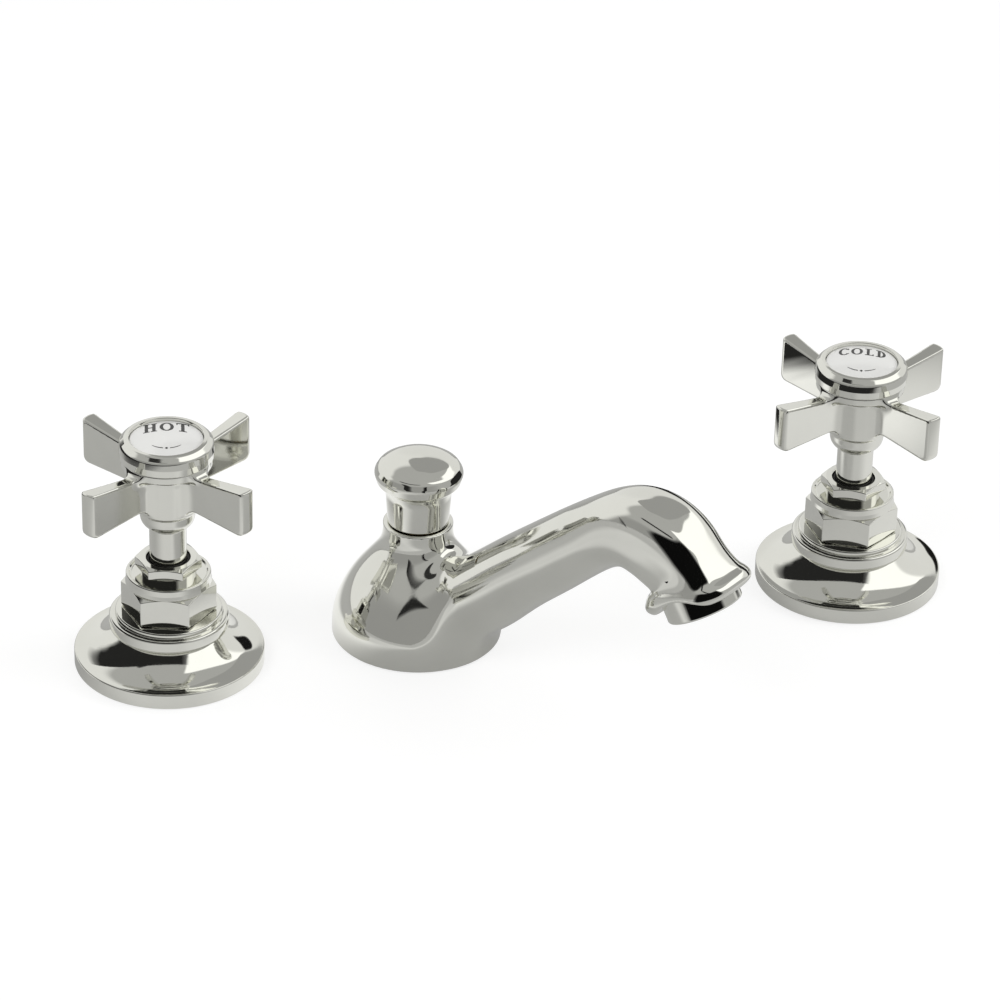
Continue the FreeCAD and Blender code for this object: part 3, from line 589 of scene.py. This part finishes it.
def straight(x0, y0, x1, y1, width):
    # Stroke from one point to another: the sides lie width / 2 each way.
    a, b = np.array([x0, y0]), np.array([x1, y1])
    t = (b - a) / np.linalg.norm(b - a)
    n = np.array([-t[1], t[0]]) * width / 2
    s = np.linspace(0, 1, 9)[:, None]
    middle = a + (b - a) * s
    return middle + n, middle - n


def bowl(cx, rx, ry, a0, a1):
    # Stroke round an ellipse, thick at its sides and thin at its top and bottom.
    a = np.radians(np.linspace(a0, a1, 41))[:, None]
    outer = np.hstack([cx + rx * np.cos(a), capTop / 2 + ry * np.sin(a)])
    inner = np.hstack([cx + (rx - thick) * np.cos(a), capTop / 2 + (ry - thin) * np.sin(a)])
    return outer, inner


def stem(x, low=0, high=capTop, wide=thick):
    return straight(x, low, x, high, wide)


def foot(x, y, wide):
    return straight(x - wide / 2, y, x + wide / 2, y, serif)


def letterH():
    w, short = 4.0, 0.42
    left, right = thick / 2 + short, w - thick / 2 - short
    lines = [stem(left), stem(right), straight(left, capTop / 2, right, capTop / 2, thin)]
    for x in (left, right):
        lines += [foot(x, serif / 2, thick + 2 * short), foot(x, capTop - serif / 2, thick + 2 * short)]
    return lines, w


def letterO():
    return [bowl(2.05, 2.05, capTop / 2, 0, 360)], 4.1


def letterT():
    w = 3.7
    return [stem(w / 2), foot(w / 2, serif / 2, thick + 2 * serifReach),
            straight(0, capTop - thin / 2, w, capTop - thin / 2, thin),
            stem(0.18, capTop - 1.1, wide=0.36), stem(w - 0.18, capTop - 1.1, wide=0.36)], w


def letterC():
    return [bowl(1.95, 1.95, capTop / 2, 42, 318), stem(3.35, 0.62, 1.15, 0.36),
            stem(3.35, capTop - 1.3, capTop - 0.35, 0.4)], 3.55


def letterL():
    w = 3.1
    x = thick / 2 + serifReach
    return [stem(x), foot(x, capTop - serif / 2, thick + 2 * serifReach),
            straight(0, thin / 2, w, thin / 2, thin), stem(w - 0.18, high=1.2, wide=0.36)], w


def letterD():
    x = thick / 2 + serifReach
    feet = [foot(x - 0.3, y, thick + serifReach) for y in (serif / 2, capTop - serif / 2)]
    return [stem(x), *feet, bowl(x - 0.1, 2.45, capTop / 2, -90, 90)], 3.6


alphabet = {"H": letterH, "O": letterO, "T": letterT, "C": letterC, "L": letterL, "D": letterD}


def layOn(p, base):
    # The line of letters arches a little: y = base + y - x^2 / (2 arch).
    return np.stack([p[:, 0], base + p[:, 1] - p[:, 0] ** 2 / (2 * letters["arch"])], 1)


def strip(a, b):
    # Strip between two lines that follows the dome, with its ends closed unless it is a ring.
    rows = []
    for line, lift in ((a, -letters["sink"]), (a, letters["rise"]), (b, letters["rise"]),
                       (b, -letters["sink"])):
        z = faceHeight(np.hypot(line[:, 0], line[:, 1])) + lift
        rows.append(np.column_stack([line, z]))
    rows = np.stack(rows)
    n = rows.shape[1]
    faces = []
    for i in range(4):
        j = (i + 1) % 4
        for k in range(n - 1):
            faces.append([i * n + k, j * n + k, j * n + k + 1, i * n + k + 1])
    if np.linalg.norm(rows[1, 0] - rows[1, -1]) > 1e-6:
        faces += [[3 * n, 2 * n, n, 0], [n - 1, 2 * n - 1, 3 * n - 1, 4 * n - 1]]
    return rows.reshape(-1, 3), faces


def wordMesh(name, word, angle, place):
    c = letters
    strokes = []
    x = 0.0
    for letter in word:
        lines, wide = alphabet[letter]()
        strokes += [(a + [x, 0], b + [x, 0]) for a, b in lines]
        x += wide + c["gap"]
    x -= c["gap"]
    size = min(c["size"], c["widest"] / x)
    pieces = [strip(*(layOn((edge - [x / 2, 0]) * size, c["base"]) for edge in edges)) for edges in strokes]
    # The rule's strips lie on a circle round the disc's middle and taper
    away = c["base"] + c["ruleDrop"]
    t = np.linspace(c["ruleFrom"], c["ruleTo"], 15)
    half = c["ruleHalf"] * np.sqrt(np.maximum(1 - ((t - c["ruleFrom"]) / c["taper"]) ** 2, 0.02))
    for side in (1, -1):
        turn = math.pi * 1.5 + side * t
        spoke = np.stack([np.cos(turn), np.sin(turn)], 1)
        pieces.append(strip(spoke * (away + half)[:, None], spoke * (away - half)[:, None]))
    t = np.linspace(-c["lozenge"], c["lozenge"], 9)
    half = np.maximum(c["lozenge"] - np.abs(t), 0.01)
    pieces.append(strip(np.stack([t, half - away], 1), np.stack([t, -half - away], 1)))
    points, faces = [], []
    total = 0
    for spots, sides in pieces:
        points.append(spots)
        faces += [[k + total for k in side] for side in sides]
        total += len(spots)
    points = np.concatenate(points)
    points = turnAndPlace(points, points, angle, place)[0]
    mesh = makeMesh(name, points, faces)
    mesh.polygons.foreach_set("use_smooth", np.zeros(len(mesh.polygons), bool))
    bm = bmesh.new()
    bm.from_mesh(mesh)
    bmesh.ops.recalc_face_normals(bm, faces=bm.faces)
    bm.to_mesh(mesh)
    bm.free()
    return mesh


# Cross handle: hub on a bowl, with a cove under its band, and four paddle arms blended where they meet it
cross = {
    "neck": 6.0, "neckLow": 35.5, "bowl": 8.9, "bowlLow": 50.5, "bowlRound": 4.5, "hub": 10.8,
    "hubLow": 57.2, "hubRound": 1.7, "hubCut": 75.0, "band": 14.7, "bandLow": 73.6, "bandHigh": 76.5,
    "bandRound": 0.5, "cove": 4.0, "boss": 12.45, "bossHigh": 80.55, "armRoot": 8.0, "reach": 36.0,
    "low": 61.2, "topRoot": 73.2, "topTip": 77.2, "rootThick": 3.6, "tipThick": 5.7, "widening": 1.3,
    "rising": 1.2, "edge": 0.95, "heel": 2.4, "noseBall": 7.0, "fillet": 3.6,
}


def handleField(p):
    c = cross
    x, y, z = p[:, 0], p[:, 1], p[:, 2]
    r = np.hypot(x, y)
    hub = np.maximum(disc(r, z, c["hub"], c["hubLow"], 82.0, c["hubRound"]), z - c["hubCut"])
    band = disc(r, z, c["band"], c["bandLow"], c["bandHigh"], c["bandRound"])
    body = smoothMin(hub, band, c["cove"])
    ax, ay = np.maximum(np.abs(x), np.abs(y)), np.minimum(np.abs(x), np.abs(y))
    # The arm widens and rises with a power of the way along it, and its nose is part of a cylinder
    s = np.clip((ax - c["armRoot"]) / (c["reach"] - c["armRoot"]), 0, 1)
    side = ay - (c["rootThick"] + (c["tipThick"] - c["rootThick"]) * s ** c["widening"]) / 2
    top = z - c["topRoot"] - (c["topTip"] - c["topRoot"]) * s ** c["rising"]
    nose = np.hypot(np.maximum(ax - (c["reach"] - c["noseBall"]), 0), ay) - c["noseBall"]
    arm = smoothMax(smoothMax(nose, c["low"] - z, c["heel"]), top, c["edge"])
    arm = smoothMax(arm, side, c["edge"])
    body = smoothMin(body, arm, c["fillet"])
    bowlPart = disc(r, z, c["bowl"], c["bowlLow"], 62.0, c["bowlRound"])
    body = smoothMin(body, bowlPart, 1.0)
    neck = disc(r, z, c["neck"], c["neckLow"], 60.0, 0.4)
    body = smoothMin(body, neck, 0.4)
    return np.minimum(body, disc(r, z, c["boss"], c["hubCut"], c["bossHigh"], 0.3))


# Spout: bell-shaped base, rising arm and down-turned nozzle with a flared lip
spout = {
    "height": 41.6, "reach": 111.0, "crest": 72.0, "arm": 13.5, "nozzle": 30.0, "blend": 9.0,
    "lipRound": 4.6, "lipReach": 112.0, "lipHeight": 55.3, "archHalf": 10.9, "archRise": 4.0,
    "archRound": 1.2, "flatFrom": 53.5, "flatOver": 30.0, "squareness": 1.3, "topRound": 0.9,
    "soleRound": 0.8, "deckRadius": 14.0, "deckSlope": 6.0, "deckRound": 0.6,
}
# Heights and radii of the base and the tower
shoulder = [(0.0, 28.0), (2.5, 27.97), (6.66, 27.72), (15.39, 24.92), (22.67, 20.58), (29.12, 15.54),
            (34.11, 12.4), (41.6, 11.5), (46.0, 11.3)]
# Shares of the reach, of the crest's height and of the arm's radius, and the section's width as a share
# of its height
stations = [(0.110, 0.165, 1.03, 0.99), (0.257, 0.352, 1.00, 0.99), (0.375, 0.523, 0.94, 0.99),
            (0.487, 0.674, 0.91, 0.99), (0.590, 0.813, 0.874, 0.99), (0.686, 0.927, 0.867, 0.99),
            (0.778, 0.993, 0.911, 0.99), (0.863, 0.986, 0.95, 0.96), (0.934, 0.926, 0.94, 0.92)]
# The lip's roll: distance from its plane back along the nozzle's axis, share of the arm's radius, and
# width as a share of the height
roll = [(7.5, 1.00, 0.90), (5.8, 1.11, 0.86), (4.0, 1.215, 0.82), (2.0, 1.27, 0.80), (0.0, 1.25, 0.80),
        (-6.0, 1.10, 0.86)]
nozzleTurn = math.radians(spout["nozzle"])
nozzleAxis = np.array([math.sin(nozzleTurn), 0, -math.cos(nozzleTurn)])
lipCentre = np.array([spout["lipReach"], 0, spout["lipHeight"]])
line = [(s[0] * spout["reach"], s[1] * spout["crest"], s[2] * spout["arm"], s[3]) for s in stations]
line += [(*(lipCentre - s[0] * nozzleAxis)[[0, 2]], s[1] * spout["arm"], s[2]) for s in roll]
line = np.array(line)
chord = np.concatenate([[0], np.cumsum(np.hypot(*np.diff(line[:, :2], axis=0).T))])
lineX, lineZ, lineR, lineShare = (naturalSpline(chord, line[:, k]) for k in range(4))
shoulderR = naturalSpline([s[0] for s in shoulder], [s[1] for s in shoulder])
samples = np.linspace(0, chord[-1], 90)
sampleX, sampleZ = lineX(samples)[0], lineZ(samples)[0]
lipAt = chord[-2]


def nearestOnLine(x, z):
    # Where along the arm's centre line a point is nearest: the nearest of 90 samples, then steps of
    # (p - c) c' / (c' c' - (p - c) c'').
    t = np.empty_like(x)
    for start in range(0, len(x), 200000):
        part = slice(start, start + 200000)
        d = (x[part, None] - sampleX) ** 2 + (z[part, None] - sampleZ) ** 2
        t[part] = samples[np.argmin(d, 1)]
    for _ in range(4):
        cx, dx, bx = lineX(t)
        cz, dz, bz = lineZ(t)
        speed = dx * dx + dz * dz
        bend = speed - (x - cx) * bx - (z - cz) * bz
        step = ((x - cx) * dx + (z - cz) * dz) / np.maximum(bend, 0.25 * speed)
        t = np.clip(t + np.clip(step, -2, 2), 0, chord[-1])
    return t


def spoutField(p):
    c = spout
    x, y, z = p[:, 0], p[:, 1], p[:, 2]
    r = np.hypot(x, y)
    radius, slope = shoulderR(np.clip(z, 0, shoulder[-1][0]))[:2]
    base = (r - radius) / np.sqrt(1 + slope * slope)
    base = smoothMax(base, z - c["height"], c["topRound"])
    t = nearestOnLine(x, z)
    cx, cz = lineX(t)[0], lineZ(t)[0]
    away = np.hypot(x - cx, z - cz)
    # The section is round along the arm, and narrower and squarer at the nozzle: (a^n + b^n)^(1/n) with
    # n over 2
    s = np.clip((t - (lipAt - c["flatFrom"])) / c["flatOver"], 0, 1)
    power = 2 + c["squareness"] * s * s * (3 - 2 * s)
    wide = np.abs(y) / lineShare(t)[0]
    large = np.maximum(np.maximum(away, wide), 1e-6)
    tube = large * ((away / large) ** power + (wide / large) ** power) ** (1 / power) - lineR(t)[0]
    lip = (x - lipCentre[0]) * nozzleAxis[0] + (z - lipCentre[2]) * nozzleAxis[2]
    tube = smoothMax(tube, lip, c["lipRound"])
    # A cylinder across the nozzle arches both sides of the lip
    arch = (c["archHalf"] ** 2 + c["archRise"] ** 2) / (2 * c["archRise"])
    across = (x - lipCentre[0]) * nozzleAxis[2] - (z - lipCentre[2]) * nozzleAxis[0]
    hole = arch - np.hypot(across, lip + c["archRise"] - arch)
    tube = smoothMax(tube, hole, c["archRound"])
    body = smoothMin(base, tube, c["blend"])
    body = smoothMax(body, -z, c["soleRound"])
    # Nothing stands over the tower's flat top
    deck = z - c["height"] - np.maximum(r - c["deckRadius"], 0) * c["deckSlope"]
    return smoothMax(body, deck, c["deckRound"])


# Lift knob: upright skirt that flares out under a domed cap with a rounded edge
knob = {"low": 41.9, "foot": 10.1, "skirt": 10.8, "skirtTop": 52.6, "flare": 11.75, "flareTop": 55.0,
        "under": 13.7, "underAt": 56.7, "widest": 14.62, "wideAt": 59.9, "shoulder": 13.3,
        "shoulderAt": 62.35, "top": 65.8, "recess": 8.6, "recessTop": 43.0,
        "crown": [(10.6, 64.1), (7.9, 65.05), (5.2, 65.52), (2.4, 65.76)]}


def knobCorners(angles):
    p = knob
    rows = [(0.0, p["recessTop"], 0.0, 1), (p["recess"], p["recessTop"], 0.2, 1),
            (p["recess"] + 0.4, p["low"], 0.2, 2), (p["foot"], p["low"], 0.35, 3),
            (p["skirt"], p["skirtTop"], 9.0, 5), (p["flare"], p["flareTop"], 1.6, 5),
            (p["under"], p["underAt"], 1.3, 4), (p["widest"], p["wideAt"], 2.3, 6),
            (p["shoulder"], p["shoulderAt"], 3.0, 5)]
    return rows + [(r, z, 60.0, 2) for r, z in p["crown"]] + [(0.0, p["top"], 0.0, 1)]


# Aerator ring, drawn from the lip along the nozzle's axis
ring = {"radius": 12.4, "sunk": 6.0, "showing": 3.5, "edge": 0.7, "bore": 9.8, "lipWidth": 1.2}


def aeratorCorners(angles):
    p = ring
    return [
        (p["bore"], p["sunk"], 0.1, 1), (p["radius"], p["sunk"], 0.1, 1),
        (p["radius"], -p["showing"], p["edge"], 5), (p["radius"] - 1.6, -p["showing"], 0.2, 3),
        (p["bore"] - 0.5, -p["showing"] + 0.5, 0.3, 3),
        (p["bore"] - p["lipWidth"], -p["showing"] + 1.2, 0.1, 2), (p["bore"], -p["showing"] + 1.3, 0.1, 1),
    ]


# Assembly
turns = 192
around = np.arange(turns) * 2 * math.pi / turns
hexSteps = ((18, 10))


def lathePiece(name, corners, angles, place, body, slot="polished_nickel", nodes=(), closed=True):
    points, faces, normals = spin(corners, angles, closed)
    points, normals = turnAndPlace(points, normals, 0, place)
    addPiece(name, makeMesh(name, points, faces, normals), body, slot, nodes)


handlePoints, handleFaces, handleNormals = surfaceNet(handleField, (-37.5, -37.5, 34.5), (37.5, 37.5, 81.5),
                                                      0.42)
print("handle surface", len(handlePoints), "points")
for side, place in (("hot", hotX), ("cold", coldX)):
    title = side.capitalize()
    at = (place, 0.0)
    moving = side + "_handle"
    hexTurn = layout[side + "Hex"]
    hexes = hexAngles(hexTurn, *hexSteps)
    lathePiece(title + "Escutcheon", escutcheonCorners, around, at, "root", nodes=[side + "_escutcheon"])
    lathePiece(title + "Bonnet", bonnetCorners(hexTurn), hexes, at, "root", nodes=[side + "_bonnet"])
    lathePiece(title + "GlandNut", glandCorners(hexTurn), hexes, at, "root", nodes=[side + "_gland_nut"])
    lathePiece(title + "WiperRing", wiperCorners, around, at, "root", "black_rubber")
    points, normals = turnAndPlace(handlePoints, handleNormals, layout[side + "Arm"], at)
    addPiece(title + "Handle", makeMesh(title + "Handle", points, handleFaces.tolist(), normals), moving,
             nodes=[side + "_handle"])
    lathePiece(title + "IndexBezel", bezelCorners, around, at, moving, nodes=[side + "_index_bezel"])
    lathePiece(title + "IndexDisc", faceCorners, around, at, moving, "white_porcelain",
               [side + "_index_disc"], closed=False)
    addPiece(title + "IndexWord", wordMesh(title + "IndexWord", side.upper(), layout[side + "Word"], at),
             moving, "white_porcelain", material=materials["black_enamel"])
print("valves done")

points, faces, normals = surfaceNet(spoutField, (-30, -30, -1.5), (134, 30, 90), 0.55)
points, normals = turnAndPlace(points, normals, layout["spoutYaw"], (0, 0))
addPiece("SpoutBody", makeMesh("SpoutBody", points, faces.tolist(), normals), "root", nodes=["spout_body"])
print("spout surface", len(points), "points")
lathePiece("LiftKnob", knobCorners, around, (0, 0), "lift_knob", nodes=["lift_knob"], closed=False)
points, faces, normals = spin(aeratorCorners, around)
tilt = np.array([[math.cos(nozzleTurn), 0, math.sin(nozzleTurn)], [0, 1, 0],
                 [-math.sin(nozzleTurn), 0, math.cos(nozzleTurn)]])
points, normals = points @ tilt + lipCentre, normals @ tilt
points, normals = turnAndPlace(points, normals, layout["spoutYaw"], (0, 0))
addPiece("AeratorRing", makeMesh("AeratorRing", points, faces, normals), "root", nodes=["aerator_housing"])
print("spout done")

# Camera at the photograph's angle: degrees, millimetres, and a focal length in thousandths of the width
shot = {"azimuth": -15.68, "elevation": 30.54, "roll": 1.55, "distance": 1500.0, "focal": 4584.0,
        "target": (27.53, 0.0, 45.47)}
a, e, roll = (math.radians(shot[k]) for k in ("azimuth", "elevation", "roll"))
back = Vector((math.sin(a) * math.cos(e), -math.cos(a) * math.cos(e), math.sin(e)))
right = (-back).cross(Vector((0, 0, 1))).normalized()
upward = right.cross(-back)
right, upward = (right * math.cos(roll) + upward * math.sin(roll),
                 upward * math.cos(roll) - right * math.sin(roll))
camData = bpy.data.cameras.new("Camera")
camData.sensor_width = 36.0
camData.lens = shot["focal"] / 1000 * camData.sensor_width
camData.clip_start, camData.clip_end = 0.05, 60.0
camera = newObject("Camera", camData)
turn = Matrix((right, upward, back)).transposed().to_4x4()
camera.matrix_world = Matrix.Translation((Vector(shot["target"]) + back * shot["distance"]) * mm) @ turn
bpy.context.scene.camera = camera
bpy.context.scene.view_settings.view_transform = "Standard"

# Studio: a white floor, a surround of pale and dark panels, and dark screens near the metal. The floor's
# turns are bearings and what they add to its brightness
studio = {"floorSize": 6000.0, "floorDrop": 0.3, "ambient": 1.0, "floorGlow": 0.74, "floorDim": 0.56,
          "floorTurn": [(-80, -15, 0.2), (15, 80, 0.36), (140, 180, -0.56)], "floorNear": (130, 180),
          "spoutMiddle": (25, -60, 0), "spoutNear": (60, 100)}


def ramp(tree, value, start, end, first, last):
    # Smooth step from a first to a last value, between a start and an end.
    return node(tree, "MapRange", {"Value": value, "From Min": start, "From Max": end, "To Min": first,
                                   "To Max": last}, interpolation_type="SMOOTHSTEP").outputs[0]


def emptyTree(owner):
    owner.use_nodes = True
    owner.node_tree.nodes.clear()
    return owner.node_tree


h = studio["floorSize"]
floorMesh = makeMesh("StudioFloor", [(-h, -h, 0), (h, -h, 0), (h, h, 0), (-h, h, 0)], [(0, 1, 2, 3)])
floor = newObject("StudioFloor", floorMesh)
floor.location = (0, 0, -studio["floorDrop"] * mm)
floorMat = bpy.data.materials.new("studioFloor")
tree = emptyTree(floorMat)
path = node(tree, "LightPath")
reflected = math2(tree, "MAXIMUM", path.outputs["Is Glossy Ray"], path.outputs["Is Transmission Ray"])
seen = math2(tree, "MAXIMUM", path.outputs["Is Camera Ray"], reflected)
plain = node(tree, "BsdfDiffuse", {"Color": (0.32, 0.32, 0.32, 1)})
# In reflections the floor grows paler from the left of each valve round to its right
spot = node(tree, "TexCoord").outputs["Object"]
paler = 0.0
for middle, share in ((hotX, 1.0), (coldX, 0.55)):
    near = node(tree, "Mapping", {"Vector": spot, "Location": (middle * mm, 0, 0),
                                  "Rotation": (0, 0, math.radians(shot["azimuth"]))},
                vector_type="TEXTURE")
    part = node(tree, "SeparateXYZ", {0: near.outputs[0]})
    bearing = math2(tree, "ARCTAN2", part.outputs[0], math2(tree, "MULTIPLY", part.outputs[1], -1.0))
    far = node(tree, "VectorMath", {0: near.outputs[0]}, operation="LENGTH").outputs["Value"]
    weight = 0.0
    for start, end, amount in studio["floorTurn"]:
        step = ramp(tree, bearing, math.radians(start), math.radians(end), 0.0, amount)
        weight = math2(tree, "ADD", weight, step)
    fade = ramp(tree, far, studio["floorNear"][0] * mm, studio["floorNear"][1] * mm, share, 0.0)
    paler = math2(tree, "MAXIMUM", paler, math2(tree, "MULTIPLY", weight, fade))
# It stays dim round the spout
spoutMiddle = [k * mm for k in studio["spoutMiddle"]]
far = node(tree, "VectorMath", {0: spot, 1: spoutMiddle}, operation="DISTANCE").outputs["Value"]
away = ramp(tree, far, studio["spoutNear"][0] * mm, studio["spoutNear"][1] * mm, 0.0, 1.0)
paler = math2(tree, "MULTIPLY", paler, away)
level = math2(tree, "SUBTRACT", studio["floorDim"], paler)
level = math2(tree, "SUBTRACT", studio["floorGlow"], math2(tree, "MULTIPLY", reflected, level))
glow = node(tree, "Emission", {"Color": (1, 1, 1, 1), "Strength": level})
both = node(tree, "AddShader", {0: plain.outputs[0], 1: glow.outputs[0]})
dull = node(tree, "BsdfDiffuse", {"Color": (0.8, 0.8, 0.79, 1)})
mix = node(tree, "MixShader", {0: seen, 1: dull.outputs[0], 2: both.outputs[0]})
node(tree, "OutputMaterial", {"Surface": mix.outputs[0]})
floorMesh.materials.append(floorMat)


def screen(name, centre, radius, azimuth, half, up, tall, tilt, level, nearest, reach, soft=0.4):
    # Part of a sphere round a point: |u|^4 + |v|^4 <= 1 over the angles round and up, fading at its rim.
    # It is seen in reflections only, and only from a distance between its nearest and its reach.
    steps = 24
    u, v = np.meshgrid(np.linspace(-1, 1, steps), np.linspace(-1, 1, steps), indexing="ij")
    u, v = u.ravel(), v.ravel()
    fade = np.clip((1 - (u ** 4 + v ** 4)) / soft, 0, 1)
    t = math.radians(tilt)
    over = u * half * math.cos(t) - v * tall * math.sin(t)
    high = u * half * math.sin(t) + v * tall * math.cos(t) + up
    a, e = np.radians(shot["azimuth"] + azimuth + over), np.radians(high)
    points = np.stack([np.sin(a) * np.cos(e), -np.cos(a) * np.cos(e), np.sin(e)], 1) * radius + centre
    index = np.arange(steps * steps).reshape(steps, steps)
    quads = np.stack([index[:-1, :-1], index[1:, :-1], index[1:, 1:], index[:-1, 1:]], -1).reshape(-1, 4)
    mesh = makeMesh(name, points, quads.tolist())
    rim = mesh.attributes.new("fade", "FLOAT", "POINT")
    rim.data.foreach_set("value", fade.astype(np.float32))
    obj = newObject(name, mesh)
    for ray in ("camera", "diffuse", "transmission", "volume_scatter", "shadow"):
        setattr(obj, "visible_" + ray, False)
    mat = bpy.data.materials.new(name)
    tree = emptyTree(mat)
    path = node(tree, "LightPath")
    near = math2(tree, "MULTIPLY", math2(tree, "LESS_THAN", path.outputs["Ray Length"], reach * mm),
                 math2(tree, "GREATER_THAN", path.outputs["Ray Length"], nearest * mm))
    edge = node(tree, "Attribute", attribute_name="fade").outputs["Fac"]
    clear = node(tree, "BsdfTransparent")
    shine = node(tree, "Emission", {"Color": (1, 1, 0.985, 1), "Strength": level})
    mix = node(tree, "MixShader", {0: math2(tree, "MULTIPLY", near, edge), 1: clear.outputs[0],
                                   2: shine.outputs[0]})
    node(tree, "OutputMaterial", {"Surface": mix.outputs[0]})
    mesh.materials.append(mat)


# Screens: middle, radius, azimuth and its half, height angle and its half, tilt, brightness, nearest
# and reach
screens = [
    ("HotFrontScreen", (hotX, 0, 45), 95, -45, 92, 29, 28, 6, 0.02, 72, 112),
    ("HotRearScreen", (hotX, 0, 45), 95, 140, 6, -3, 10, 0, 0.01, 55, 112),
    ("ColdFrontScreen", (coldX, 0, 45), 75, -45, 92, 27, 28, 6, 0.02, 52, 92),
    ("ColdRearScreen", (coldX, 0, 45), 75, 148, 6, -8, 10, 0, 0.01, 40, 92),
    ("NozzleScreen", (60, -77, 62), 90, 5, 52, 18, 36, 15, 0.004, 30, 130),
]
for values in screens:
    screen(*values)

world = bpy.data.worlds.new("Studio")
bpy.context.scene.world = world
tree = emptyTree(world)
where = node(tree, "TexCoord").outputs["Generated"]
# Directions are measured from the side the photograph is taken from
aligned = node(tree, "Mapping", {"Vector": where, "Rotation": (0, 0, -math.radians(shot["azimuth"]))})
xyz = node(tree, "SeparateXYZ", {0: aligned.outputs[0]})
degree = 180 / math.pi
bearing = math2(tree, "ARCTAN2", xyz.outputs[0], math2(tree, "MULTIPLY", xyz.outputs[1], -1.0))
sideways = math2(tree, "MULTIPLY", bearing, degree)
heightAngle = math2(tree, "MULTIPLY", math2(tree, "ARCSINE", xyz.outputs[2]), degree)


def patch(tree, wide, high, half, tall, tilt, soft):
    # Rounded patch of the surround: 1 inside |u|^4 + |v|^4 = 1, with u and v the shares of its half sizes
    # along directions that are turned by its tilt
    c, s = math.cos(math.radians(tilt)), math.sin(math.radians(tilt))
    along = math2(tree, "ADD", math2(tree, "MULTIPLY", wide, c), math2(tree, "MULTIPLY", high, s))
    across = math2(tree, "SUBTRACT", math2(tree, "MULTIPLY", high, c), math2(tree, "MULTIPLY", wide, s))
    u, v = (math2(tree, "POWER", math2(tree, "ABSOLUTE", math2(tree, "DIVIDE", way, size)), 4.0)
            for way, size in ((along, half), (across, tall)))
    return ramp(tree, math2(tree, "ADD", u, v), 1 - soft, 1 + soft, 1.0, 0.0)


# Panels of the surround, in degrees: middle and half width round, middle and half height up and tilt,
# then softness and brightness
panels = {
    "front": (-20, 70, 0, 34, 0, 0.8, 0.33),
    "left": (-135, 50, 20, 30, 0, 0.5, 0.85),
    "right": (99, 54, 43, 16, -25, 0.2, 1.25),
    "rightLow": (150, 40, 14, 18, 0, 0.5, 0.80),
    "rear": (165, 24, 49, 17, 0, 0.06, 0.36),
    "gap": (-35, 42, 58, 3.5, 0, 0.3, 0.03),
}
colour = node(tree, "RGB")
colour.outputs[0].default_value = (0.45, 0.45, 0.443, 1)
current = colour.outputs[0]
for mid, half, up, tall, tilt, soft, bright in panels.values():
    # Angle round from the patch's middle, brought within half a turn each way
    off = math2(tree, "SUBTRACT", sideways, mid)
    off = node(tree, "Math", {0: off, 1: 180.0, 2: -180.0}, operation="WRAP").outputs[0]
    rise = math2(tree, "SUBTRACT", heightAngle, up)
    mask = patch(tree, off, rise, half, tall, tilt, soft)
    current = node(tree, "Mix", {0: mask, 6: current, 7: (bright, bright, bright * 0.985, 1)},
                   data_type="RGBA").outputs[2]
# The camera itself sees plain white
path = node(tree, "LightPath")
shine = node(tree, "Background", {"Color": current, "Strength": studio["ambient"]})
white = node(tree, "Background", {"Color": (1, 1, 1, 1), "Strength": 1.0})
pick = node(tree, "MixShader", {0: path.outputs["Is Camera Ray"], 1: shine.outputs[0], 2: white.outputs[0]})
node(tree, "OutputWorld", {"Surface": pick.outputs[0]})

# Lamps: name, place in metres, size and power
lamps = [
    ("KeyLamp", (-0.9, -0.7, 1.2), (0.9, 0.9), 9.0),
    ("FillLamp", (1.1, -0.3, 0.9), (0.8, 0.8), 5.0),
]
for name, place, size, power in lamps:
    data = bpy.data.lights.new(name, "AREA")
    data.shape = "RECTANGLE"
    data.size, data.size_y = size
    data.energy = power
    lamp = newObject(name, data)
    lamp.location = place
    aim = Vector((0.03, 0, 0.03)) - Vector(place)
    lamp.rotation_mode = "QUATERNION"
    lamp.rotation_quaternion = aim.to_track_quat("-Z", "Y")
    lamp.visible_glossy = False
print("studio done")
